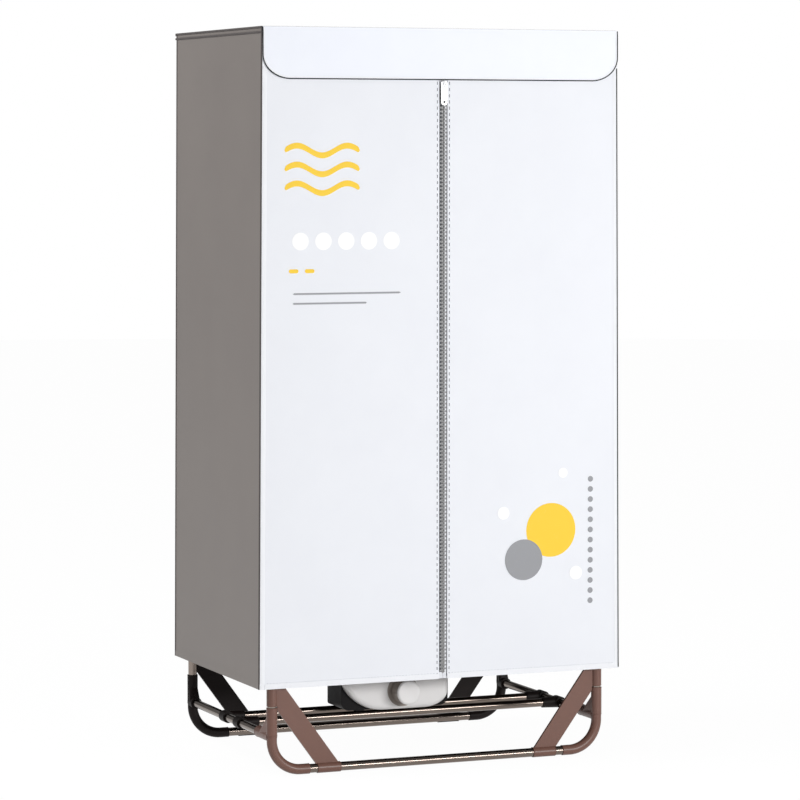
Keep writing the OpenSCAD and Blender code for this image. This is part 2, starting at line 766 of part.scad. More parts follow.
module fan_impeller() {
    blades = 7;
    hub_r = 11;
    color("#3a3c40") translate([fan_x, fan_y, fan_z]) {
        cylinder(r = hub_r, h = fan_height);
        cylinder(r = shaft_r, h = motor_z - fan_z + motor_height - 10);
        for (i = [0:blades - 1]) rotate([0, 0, i * 360 / blades])
            translate([hub_r - 1, 0, fan_height / 2]) rotate([32, 0, 0])
                translate([0, -blade_width / 2, -blade_thick / 2]) cube([fan_r - hub_r, blade_width, blade_thick]);
    }
}

module heating_element() {
    x0 = heater_left + element_inset;
    x1 = heater_right - element_inset;
    fin_half = element_half - 3;
    fin_pitch = 10;
    fins = floor((x1 - x0 - 24) / fin_pitch);
    color("#c9c4b8") difference() {
        block([x0, fan_y - element_half, element_z], [x1, fan_y + element_half, element_z + element_height]);
        for (i = [0:fins])
            block([x0 + 12 + i * fin_pitch, fan_y - fin_half, element_z - 1],
                  [x0 + 12 + (i + 0.7) * fin_pitch, fan_y + fin_half, element_z + element_height + 1]);
    }
}

side_panel(LEFT);  // side_panel_left
side_panel(RIGHT);  // side_panel_right
back_panel();
roof_panel();
front_header();
front_panel(LEFT);  // front_panel_left
front_panel(RIGHT);  // front_panel_right
top_flap();
edge_bindings();
zip_tape(LEFT);  // zip_tape_left
zip_tape(RIGHT);  // zip_tape_right
zip_teeth(LEFT);  // zip_teeth_left
zip_teeth(RIGHT);  // zip_teeth_right
zip_slider();
pull_tab();
base_tube(FRONT);  // base_tube_front
base_tube(REAR);  // base_tube_rear
elbow(LEFT, FRONT);  // elbow_front_left
elbow(RIGHT, FRONT);  // elbow_front_right
elbow(LEFT, REAR);  // elbow_rear_left
elbow(RIGHT, REAR);  // elbow_rear_right
tee(LEFT, FRONT);  // tee_front_left
tee(RIGHT, FRONT);  // tee_front_right
tee(LEFT, REAR);  // tee_rear_left
tee(RIGHT, REAR);  // tee_rear_right
brace(LEFT, FRONT);  // brace_front_left
brace(RIGHT, FRONT);  // brace_front_right
brace(LEFT, REAR);  // brace_rear_left
brace(RIGHT, REAR);  // brace_rear_right
side_rail(LEFT);  // side_rail_left
side_rail(RIGHT);  // side_rail_right
cross_tube(cross_front_y);  // cross_tube_front
cross_tube(cross_rear_y);  // cross_tube_rear
cross_tube_sockets();
lower_post(LEFT, FRONT);  // lower_post_front_left
lower_post(RIGHT, FRONT);  // lower_post_front_right
lower_post(LEFT, REAR);  // lower_post_rear_left
lower_post(RIGHT, REAR);  // lower_post_rear_right
post_joiners();
upper_post(LEFT, FRONT);  // upper_post_front_left
upper_post(RIGHT, FRONT);  // upper_post_front_right
upper_post(LEFT, REAR);  // upper_post_rear_left
upper_post(RIGHT, REAR);  // upper_post_rear_right
top_corners();
top_rail_across(FRONT);  // top_rail_front
top_rail_across(REAR);  // top_rail_rear
top_rail_along(LEFT);  // top_rail_left
top_rail_along(RIGHT);  // top_rail_right
hanging_rods();
rod_sockets();
heater_rear_shell();
heater_front_shell();
heater_screws();
outlet_grille();
dial_ring();
timer_knob();
timer_unit();
fan_motor();
fan_impeller();
heating_element();
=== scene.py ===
"""Portable clothes-drying cabinet: a zipped fabric cover over a tube frame with a fan heater below.

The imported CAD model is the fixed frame. The tubes, the fittings and the heater's inner pieces keep their CAD
solids and get their finishes here. The cloth, the zip, the flap, the front shell and the knob are modelled
here in place of their plain solids, each in the space that its solid holds.
"""

import json
import logging
import math
from collections.abc import Callable, Iterable
from dataclasses import dataclass, field
from enum import Enum

import bmesh
import bpy
from mathutils import Matrix, Vector, noise

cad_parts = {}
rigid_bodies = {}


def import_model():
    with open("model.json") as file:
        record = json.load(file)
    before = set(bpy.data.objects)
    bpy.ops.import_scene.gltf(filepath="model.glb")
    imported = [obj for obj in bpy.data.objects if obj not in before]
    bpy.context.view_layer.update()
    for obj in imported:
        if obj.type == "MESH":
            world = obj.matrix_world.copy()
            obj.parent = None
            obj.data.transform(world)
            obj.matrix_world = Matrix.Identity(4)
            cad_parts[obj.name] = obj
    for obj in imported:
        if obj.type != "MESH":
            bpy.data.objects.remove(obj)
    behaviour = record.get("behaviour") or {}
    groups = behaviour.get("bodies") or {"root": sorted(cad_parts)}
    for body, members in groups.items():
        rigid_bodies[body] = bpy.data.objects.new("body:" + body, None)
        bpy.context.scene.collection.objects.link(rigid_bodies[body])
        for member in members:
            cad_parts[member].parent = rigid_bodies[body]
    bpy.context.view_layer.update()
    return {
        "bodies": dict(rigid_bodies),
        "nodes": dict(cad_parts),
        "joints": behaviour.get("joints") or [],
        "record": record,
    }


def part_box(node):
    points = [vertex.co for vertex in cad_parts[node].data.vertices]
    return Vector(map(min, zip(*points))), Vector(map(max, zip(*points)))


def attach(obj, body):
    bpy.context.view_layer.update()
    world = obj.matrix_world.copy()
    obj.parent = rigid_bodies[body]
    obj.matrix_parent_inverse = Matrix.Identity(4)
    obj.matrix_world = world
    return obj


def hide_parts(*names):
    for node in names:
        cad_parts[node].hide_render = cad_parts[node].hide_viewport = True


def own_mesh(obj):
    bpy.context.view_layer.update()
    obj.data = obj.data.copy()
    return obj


LOG = logging.getLogger("drying_cabinet")
MM = 0.001

Colour = tuple[float, float, float, float]
Spot = tuple[Vector, tuple[float, float]]  # a point of a sheet and its UV
Place = Callable[[float, float], Spot]


class Side(Enum):
    """The two sides of the cabinet, as signs of X."""

    LEFT = -1
    RIGHT = 1

    @property
    def word(self) -> str:
        """The side's name as it is in the pieces' names."""
        return self.name.lower()


class Run(Enum):
    """The axis that a tube runs along, as its drawing lines do."""

    ACROSS = (1.0, 0.0, 0.0)
    DEEP = (0.0, 1.0, 0.0)
    UPRIGHT = (0.0, 0.0, 1.0)


# --------------------------------------------------------------------------------- colour and nodes


def paint(hex_code: str) -> Colour:
    """Turns an sRGB hex colour to linear light.

    Args:
        hex_code: six hex digits after a hash.

    Returns:
        Red, green, blue and an alpha of 1.
    """
    parts = [int(hex_code[i : i + 2], 16) / 255 for i in (1, 3, 5)]
    linear = [c / 12.92 if c <= 0.04045 else ((c + 0.055) / 1.055) ** 2.4 for c in parts]
    return linear[0], linear[1], linear[2], 1.0


def add(
    tree: bpy.types.NodeTree, kind: str, inputs: dict | None = None, **settings: object
) -> bpy.types.Node:
    """Adds one node to a tree.

    Args:
        tree: the node tree.
        kind: the node's type name.
        inputs: socket name or number to a value, or to the output socket that feeds it.
        **settings: the node's own properties.

    Returns:
        The new node.
    """
    made = tree.nodes.new(kind)
    for name, value in settings.items():
        setattr(made, name, value)
    for key, value in (inputs or {}).items():
        if isinstance(value, bpy.types.NodeSocket):
            tree.links.new(value, made.inputs[key])
        else:
            made.inputs[key].default_value = value
    return made


def band_scale(period_mm: float) -> float:
    """Gives the Wave Texture scale whose bands are period_mm apart."""
    return math.tau / (20 * period_mm * MM)


def grain_scale(grain_mm: float) -> float:
    """Gives the Noise Texture scale whose grains are about grain_mm across."""
    return 1 / (grain_mm * MM)


@dataclass
class Bench:
    """A material while it is made: its tree, its shader, and the nodes that most finishes use."""

    made: bpy.types.Material
    tree: bpy.types.NodeTree
    shader: bpy.types.Node

    def where(self, kind: str) -> bpy.types.NodeSocket:
        """Gives the piece's own "UV" or "Object" coordinates."""
        return add(self.tree, "ShaderNodeTexCoord").outputs[kind]

    def noise(
        self, where: bpy.types.NodeSocket, grain_mm: float, detail: float, **more: float
    ) -> bpy.types.NodeSocket:
        """Adds noise.

        Args:
            where: its coordinates.
            grain_mm: how large its grains are.
            detail: how many finer layers it has.
            **more: other inputs by name.

        Returns:
            The noise, from 0 to 1.
        """
        inputs = {"Vector": where, "Scale": grain_scale(grain_mm), "Detail": detail, **more}
        return add(self.tree, "ShaderNodeTexNoise", inputs).outputs["Fac"]

    def bands(
        self, where: bpy.types.NodeSocket, period_mm: float, way: str, **more: float
    ) -> bpy.types.NodeSocket:
        """Adds bands.

        Args:
            where: their coordinates.
            period_mm: how far apart they are.
            way: the axis that they cross.
            **more: other inputs by name.

        Returns:
            The bands, from 0 to 1.
        """
        inputs = {"Vector": where, "Scale": band_scale(period_mm), **more}
        return add(self.tree, "ShaderNodeTexWave", inputs, bands_direction=way).outputs["Fac"]

    def sum_up(self, operation: str, *terms: bpy.types.NodeSocket | float) -> bpy.types.NodeSocket:
        """Adds a Math node on its terms, in order."""
        return add(self.tree, "ShaderNodeMath", dict(enumerate(terms)), operation=operation).outputs[0]

    def tone(self, share: bpy.types.NodeSocket, first: str, second: str) -> bpy.types.NodeSocket:
        """Mixes two hex colours: the first where the share is 0, the second where it is 1."""
        inputs = {"Factor": share, 6: paint(first), 7: paint(second)}
        return add(self.tree, "ShaderNodeMix", inputs, data_type="RGBA").outputs[2]

    def spread(
        self, share: bpy.types.NodeSocket, middle: float, below: float, above: float
    ) -> bpy.types.NodeSocket:
        """Spreads a number round its middle.

        Args:
            share: where from 0 to 1 it is.
            middle: the number.
            below: how much less it is at 0.
            above: how much more it is at 1.

        Returns:
            The number.
        """
        inputs = {"Value": share, "To Min": middle - below, "To Max": middle + above}
        return add(self.tree, "ShaderNodeMapRange", inputs).outputs[0]

    def bump(self, height: bpy.types.NodeSocket, strength: float, depth_mm: float) -> bpy.types.NodeSocket:
        """Adds a bump that is depth_mm deep."""
        inputs = {"Height": height, "Strength": strength, "Distance": depth_mm * MM}
        return add(self.tree, "ShaderNodeBump", inputs).outputs[0]

    def done(
        self,
        tone: bpy.types.NodeSocket,
        bump: bpy.types.NodeSocket,
        rough: bpy.types.NodeSocket | None = None,
    ) -> bpy.types.Material:
        """Leads the finish into its shader.

        Args:
            tone: its colour.
            bump: its relief.
            rough: its roughness, if that changes over the surface.

        Returns:
            The material.
        """
        self.tree.links.new(tone, self.shader.inputs["Base Color"])
        self.tree.links.new(bump, self.shader.inputs["Normal"])
        if rough is not None:
            self.tree.links.new(rough, self.shader.inputs["Roughness"])
        return self.made


# ----------------------------------------------------------------------------------------- finishes


@dataclass(frozen=True)
class Finish:
    """One real surface: how it is coloured, how it shines and how it was made."""

    name: str
    colour: str
    roughness: float
    metallic: float = 0.0
    coat: float = 0.0
    sheen: float = 0.0
    specular: float = 0.5

    def start(self) -> Bench:
        """Starts the material with a plain shader."""
        made = bpy.data.materials.new(self.name)
        made.use_nodes = True
        made.diffuse_color = paint(self.colour)
        tree = made.node_tree
        tree.nodes.clear()
        inputs = {
            "Base Color": paint(self.colour),
            "Roughness": self.roughness,
            "Metallic": self.metallic,
            "Coat Weight": self.coat,
            "Sheen Weight": self.sheen,
            "Specular IOR Level": self.specular,
        }
        shader = add(tree, "ShaderNodeBsdfPrincipled", inputs)
        add(tree, "ShaderNodeOutputMaterial", {"Surface": shader.outputs[0]})
        return Bench(made, tree, shader)

    def make(self) -> bpy.types.Material:
        """Makes the material."""
        return self.start().made


@dataclass(frozen=True)
class CoatedCloth(Finish):
    """Polyester cloth, plain woven and coated: smooth and taut, with a fine grid of threads and soft clouds
    of tone where it was folded in its box."""

    other: str = "#ffffff"
    thread_mm: float = 1.6  # the real threads are 0.4 mm apart, too fine to show
    cloud_mm: float = 140.0
    crease_mm: float = 45.0
    crease_share: float = 4.0  # how much higher the creases are than the threads
    depth_mm: float = 0.05

    def make(self) -> bpy.types.Material:
        """Makes the material on the piece's own UV map, which is in metres of cloth."""
        bench = self.start()
        uv = bench.where("UV")
        cloud = bench.noise(uv, self.cloud_mm, 3.0, Roughness=0.55)
        threads = [bench.bands(uv, self.thread_mm, way, Distortion=0.6, Detail=1.0) for way in ("X", "Y")]
        crease = bench.noise(uv, self.crease_mm, 2.0, Distortion=0.4)
        weave = bench.sum_up("MULTIPLY", *threads)
        height = bench.sum_up("MULTIPLY_ADD", crease, self.crease_share, weave)
        return bench.done(
            bench.tone(cloud, self.colour, self.other),
            bench.bump(height, 0.35, self.depth_mm),
            bench.spread(cloud, self.roughness, 0.05, 0.06),
        )


@dataclass(frozen=True)
class WovenTape(Finish):
    """Narrow woven polyester tape: fine ribs across its width, and the grooves between them painted slightly
    darker as shade.
    """

    groove: str = "#d8dae0"
    rib_mm: float = 1.1
    depth_mm: float = 0.12

    def make(self) -> bpy.types.Material:
        """Makes the material on the piece's own UV map, with the ribs across the tape."""
        bench = self.start()
        ribs = bench.bands(bench.where("UV"), self.rib_mm, "Y", Distortion=0.4)
        # painted shade: the grooves between the ribs take the darker colour
        return bench.done(bench.tone(ribs, self.groove, self.colour), bench.bump(ribs, 0.5, self.depth_mm))


@dataclass(frozen=True)
class Moulded(Finish):
    """Injection-moulded plastic: a fine spark-eroded grain, faint flow marks, and no metal in its shine."""

    flow: str = "#808080"
    grain_mm: float = 0.8
    grain_depth_mm: float = 0.03
    flow_mm: float = 30.0

    def make(self) -> bpy.types.Material:
        """Makes the material on Object coordinates."""
        bench = self.start()
        where = bench.where("Object")
        flow = bench.noise(where, self.flow_mm, 2.0)
        grain = bench.noise(where, self.grain_mm, 1.0)
        return bench.done(
            bench.tone(flow, self.colour, self.flow),
            bench.bump(grain, 0.4, self.grain_depth_mm),
            bench.spread(flow, self.roughness, 0.06, 0.06),
        )


@dataclass(frozen=True)
class DrawnSteel(Finish):
    """Thin metal, drawn and polished: long faint lines along a tube stretch its highlights."""

    dark: str = "#615852"
    run: Run = Run.ACROSS
    line_mm: float = 1.5
    stretch: float = 0.012  # the lines' width over their length
    depth_mm: float = 0.03

    def make(self) -> bpy.types.Material:
        """Makes the material on Object coordinates, with the lines stretched along the tube."""
        bench = self.start()
        squeeze = [1.0 if part == 0 else self.stretch for part in self.run.value]
        along = add(bench.tree, "ShaderNodeMapping", {"Vector": bench.where("Object"), "Scale": squeeze})
        lines = bench.noise(along.outputs[0], self.line_mm, 3.0)
        return bench.done(
            bench.tone(lines, self.dark, self.colour),
            bench.bump(lines, 0.25, self.depth_mm),
            bench.spread(lines, self.roughness, 0.07, 0.1),
        )


@dataclass(frozen=True)
class PrintedInk(Finish):
    """Screen-printed ink on coated cloth: flat and matt, with tiny pinholes over the threads."""

    pinhole: str = "#ffffff"
    pinhole_mm: float = 2.2
    depth_mm: float = 0.04

    def make(self) -> bpy.types.Material:
        """Makes the material on Object coordinates."""
        bench = self.start()
        holes = bench.noise(bench.where("Object"), self.pinhole_mm, 2.0)
        only_deepest = {"Value": holes, "From Min": 0.66, "From Max": 0.8, "To Max": 0.35}
        share = add(bench.tree, "ShaderNodeMapRange", only_deepest).outputs[0]
        return bench.done(bench.tone(share, self.colour, self.pinhole), bench.bump(holes, 0.2, self.depth_mm))


@dataclass
class Palette:
    """Every finish of the cabinet, made once and shared by its pieces."""

    front_cloth: Finish = CoatedCloth(
        "coated_polyester_white", "#e9ebf1", 0.62, sheen=0.05, other="#f1f3f8"
    )
    flap_cloth: Finish = CoatedCloth(
        "coated_polyester_flap", "#edf0fa", 0.55, sheen=0.05, other="#f6f9ff"
    )
    side_cloth: Finish = CoatedCloth(
        "coated_polyester_taupe", "#857d79", 0.5, sheen=0.1, other="#938b86", cloud_mm=220.0
    )
    binding: Finish = WovenTape("woven_tape_white", "#fbfcff", 0.75, groove="#eceef3")
    zip_tape: Finish = WovenTape("woven_zip_tape", "#f4f5f9", 0.8, groove="#dcdee4", rib_mm=1.4)
    seam_tape: Finish = WovenTape("woven_seam_tape_grey", "#6c6665", 0.8, groove="#565150")
    # painted shadow: a charcoal strip under the flap's edge and along the front's right edge
    edging: Finish = WovenTape("woven_edging_charcoal", "#23282e", 0.8, groove="#14181c")
    thread: Finish = Moulded("spun_thread_grey", "#74777e", 0.8, flow="#63666d", grain_mm=0.6)
    # painted shade: the dark bands under the left teeth and outside the right teeth
    zip_cord: Finish = WovenTape("woven_zip_cord", "#54575c", 0.8, groove="#3c3f44", rib_mm=1.4)
    teeth: Finish = Moulded("acetal_zip_teeth", "#9b9b9c", 0.38, flow="#858586", grain_mm=1.2, flow_mm=6.0)
    enamel: Finish = Moulded(
        "enamelled_zinc", "#eeeff1", 0.25, coat=0.4, flow="#e2e3e6", grain_depth_mm=0.01, flow_mm=8.0
    )
    brown: Finish = Moulded("polypropylene_brown", "#7a584c", 0.34, flow="#725147", specular=0.4)
    dark: Finish = Moulded("polypropylene_dark", "#1a1211", 0.5, flow="#150e0d", specular=0.15)
    heater_black: Finish = Moulded("abs_black", "#120f10", 0.55, flow="#0e0c0d", specular=0.12)
    heater_white: Finish = Moulded(
        "abs_white", "#f8f6f5", 0.3, coat=0.2, flow="#f1efee", grain_depth_mm=0.01
    )
    dial_grey: Finish = Moulded("abs_dial_grey", "#a79d95", 0.5, flow="#988e86")
    unit_grey: Finish = Moulded("nylon_dark_grey", "#45484c", 0.5, flow="#3a3d41")
    plated: Finish = DrawnSteel("zinc_plated_steel", "#c3c6ca", 0.35, metallic=1.0, dark="#9fa2a6")
    fins: Finish = DrawnSteel("aluminium_fins", "#c9c6be", 0.4, metallic=1.0, dark="#aaa79f")
    # painted shade: the tubes that run across and deep are the posts' steel painted darker
    steel_across: Finish = DrawnSteel("drawn_steel_across", "#82776f", 0.17, metallic=1.0)
    steel_deep: Finish = DrawnSteel("drawn_steel_deep", "#82776f", 0.17, metallic=1.0, run=Run.DEEP)
    steel_upright: Finish = DrawnSteel("drawn_steel_upright", "#aea198", 0.2, metallic=1.0, run=Run.UPRIGHT)
    ink_yellow: Finish = PrintedInk("screen_ink_yellow", "#fbd02c", 0.6, pinhole="#fde38a")
    ink_grey: Finish = PrintedInk("screen_ink_grey", "#98999d", 0.6, pinhole="#b9bac0")
    ink_white: Finish = PrintedInk("screen_ink_white", "#ffffff", 0.55, pinhole="#f4f5f9")
    made: dict[str, bpy.types.Material] = field(default_factory=dict)

    def get(self, finish: Finish) -> bpy.types.Material:
        """Gives the material of a finish, and makes it the first time."""
        if finish.name not in self.made:
            self.made[finish.name] = finish.make()
        return self.made[finish.name]

    def grow(
        self, name: str, bm: bmesh.types.BMesh, finish: Finish, smooth_deg: float = 35.0
    ) -> bpy.types.Object:
        """Turns a mesh into a piece with one of these finishes, as grown() does."""
        return grown(name, bm, self.get(finish), smooth_deg)

    def coat_node(self, node: bpy.types.Object, finish: Finish) -> None:
        """Gives a CAD node its finish."""
        node.data.materials.clear()
        node.data.materials.append(self.get(finish))

# ------------------------------------------------------------------------------------- mesh helpers


def grown(
    name: str, bm: bmesh.types.BMesh, material: bpy.types.Material, smooth_deg: float = 35.0
) -> bpy.types.Object:
    """Turns a bmesh into a piece at the origin.

    Args:
        name: the piece's name.
        bm: the mesh, which is freed.
        material: its material.
        smooth_deg: edges sharper than this stay sharp.

    Returns:
        The new object.
    """
    mesh = bpy.data.meshes.new(name)
    bm.to_mesh(mesh)
    bm.free()
    mesh.materials.append(material)
    mesh.shade_smooth()
    mesh.set_sharp_from_angle(angle=math.radians(smooth_deg))
    piece = bpy.data.objects.new(name, mesh)
    bpy.context.scene.collection.objects.link(piece)
    return piece


def held(share: float) -> float:
    """Holds a share between 0 and 1."""
    return max(0.0, min(1.0, share))


def laid_grid(columns: int, rows: int, place: Place, thick: float = 0.0) -> bmesh.types.BMesh:
    """Lays a grid on a surface, with a UV map in metres, and gives it thickness behind its face.

    Args:
        columns: faces along u.
        rows: faces along v.
        place: gives the point and the UV for u and v from 0 to 1.
        thick: thickness in metres, behind the face.

    Returns:
        The mesh, closed if it has a thickness.
    """
    bm = bmesh.new()
    uv = bm.loops.layers.uv.new("UVMap")
    bmesh.ops.create_grid(bm, x_segments=columns, y_segments=rows, size=0.5)
    spots = {v: place(held(v.co.x + 0.5), held(v.co.y + 0.5)) for v in bm.verts}
    for face in bm.faces:
        for loop in face.loops:
            loop[uv].uv = spots[loop.vert][1]
    for vert, (point, _) in spots.items():
        vert.co = point
    bm.normal_update()
    if thick:
        bmesh.ops.solidify(bm, geom=bm.faces[:], thickness=thick)
    return bm


def joined(parts: Iterable[bmesh.types.BMesh]) -> bmesh.types.BMesh:
    """Puts several meshes into one.

    Args:
        parts: the meshes, which are freed.

    Returns:
        One mesh that holds them all.
    """
    whole = bmesh.new()
    whole.loops.layers.uv.new("UVMap")
    for part in parts:
        mesh = bpy.data.meshes.new("part")
        part.to_mesh(mesh)
        part.free()
        whole.from_mesh(mesh)
        bpy.data.meshes.remove(mesh)
    return whole


def copies(seed: bmesh.types.BMesh, places: Iterable[Matrix]) -> bmesh.types.BMesh:
    """Copies a small mesh to many places.

    Args:
        seed: the mesh, which is freed.
        places: where each copy goes.

    Returns:
        One mesh with all the copies.
    """
    mesh = bpy.data.meshes.new("seed")
    seed.to_mesh(mesh)
    seed.free()
    whole = bmesh.new()
    for matrix in places:
        first = len(whole.verts)
        whole.from_mesh(mesh)
        whole.verts.ensure_lookup_table()
        bmesh.ops.transform(whole, matrix=matrix, verts=whole.verts[first:])
    bpy.data.meshes.remove(mesh)
    return whole


def rounded_block(size: tuple[float, float, float], edge: float, segments: int = 2) -> bmesh.types.BMesh:
    """Makes a block with rounded edges, centred on the origin.

    Args:
        size: its width, depth and height.
        edge: the edges' radius.
        segments: faces round each edge.

    Returns:
        The mesh.
    """
    bm = bmesh.new()
    bmesh.ops.create_cube(bm, size=1.0)
    bmesh.ops.scale(bm, vec=size, verts=bm.verts)
    bmesh.ops.bevel(
        bm, geom=bm.edges[:], offset=edge, segments=segments, profile=0.5, affect="EDGES", material=-1
    )
    return bm


def block_at(
    size: tuple[float, float, float], edge: float, at: tuple[float, float, float], segments: int = 2
) -> bmesh.types.BMesh:
    """Makes a block with rounded edges at a place.

    Args:
        size: its width, depth and height.
        edge: the edges' radius.
        at: the place of its middle.
        segments: faces round each edge.

    Returns:
        The mesh.
    """
    bm = rounded_block(size, edge, segments)
    bmesh.ops.translate(bm, vec=at, verts=bm.verts)
    return bm


def spin_round(bm: bmesh.types.BMesh, steps: int) -> None:
    """Spins a mesh's edges once round Z, in so many steps, and joins the ends."""
    geom = bm.verts[:] + bm.edges[:]
    bmesh.ops.spin(
        bm, geom=geom, cent=(0, 0, 0), axis=(0, 0, 1), angle=math.tau, steps=steps, use_merge=True
    )
    bmesh.ops.remove_doubles(bm, verts=bm.verts, dist=1e-6)


def relief(x: float, z: float, seed: float, size: float) -> float:
    """Gives the cloth's small rise at a place, from -1 to 1.

    Args:
        x: place along the cloth, in metres.
        z: height, in metres.
        seed: a number of the sheet's own.
        size: the ripples' size in metres.

    Returns:
        The rise as a share of its depth.
    """
    wide = noise.noise(Vector((x / size, z / (1.7 * size), seed)))
    fine = noise.noise(Vector((2.3 * x / size, 1.4 * z / size, seed + 9.0)))
    return 0.7 * wide + 0.3 * fine


# ---------------------------------------------------------------------------------------- the cover


@dataclass
class CoverShape:
    """The cover's planes, in metres, as the CAD model has them."""

    front: float = -0.22935
    back: float = 0.23465
    hem: float = 0.159
    roof: float = 1.320
    half: float = 0.350
    lean: float = 0.008
    cloth: float = 0.0009
    binding: float = 0.009
    hem_height: float = 0.009
    hem_share: float = 0.06
    hem_fold: float = 0.0006
    flap_drop: float = 0.091
    flap_corner: float = 0.042

    def half_at(self, z: float) -> float:
        """Gives the cover's half width at a height."""
        return self.half - self.lean * (z - self.hem) / (self.roof - self.hem)

    def height(self, v: float, low: float, high: float) -> float:
        """Gives the height at v from 0 to 1, with rows that are closer together in the hem.

        Args:
            v: 0 at the foot, 1 at the top.
            low: height of the foot.
            high: height of the top.

        Returns:
            The height in metres.
        """
        share = self.hem_share
        if v < share:
            return low + self.hem_height * v / share
        return low + self.hem_height + (high - low - self.hem_height) * (v - share) / (1 - share)

    def hem_rise(self, z: float, low: float) -> float:
        """Gives how far the folded hem stands out at a height, in metres."""
        over = (z - low) / self.hem_height
        return self.hem_fold * held((1.0 - over) * 6 + 0.5) if over < 1.1 else 0.0


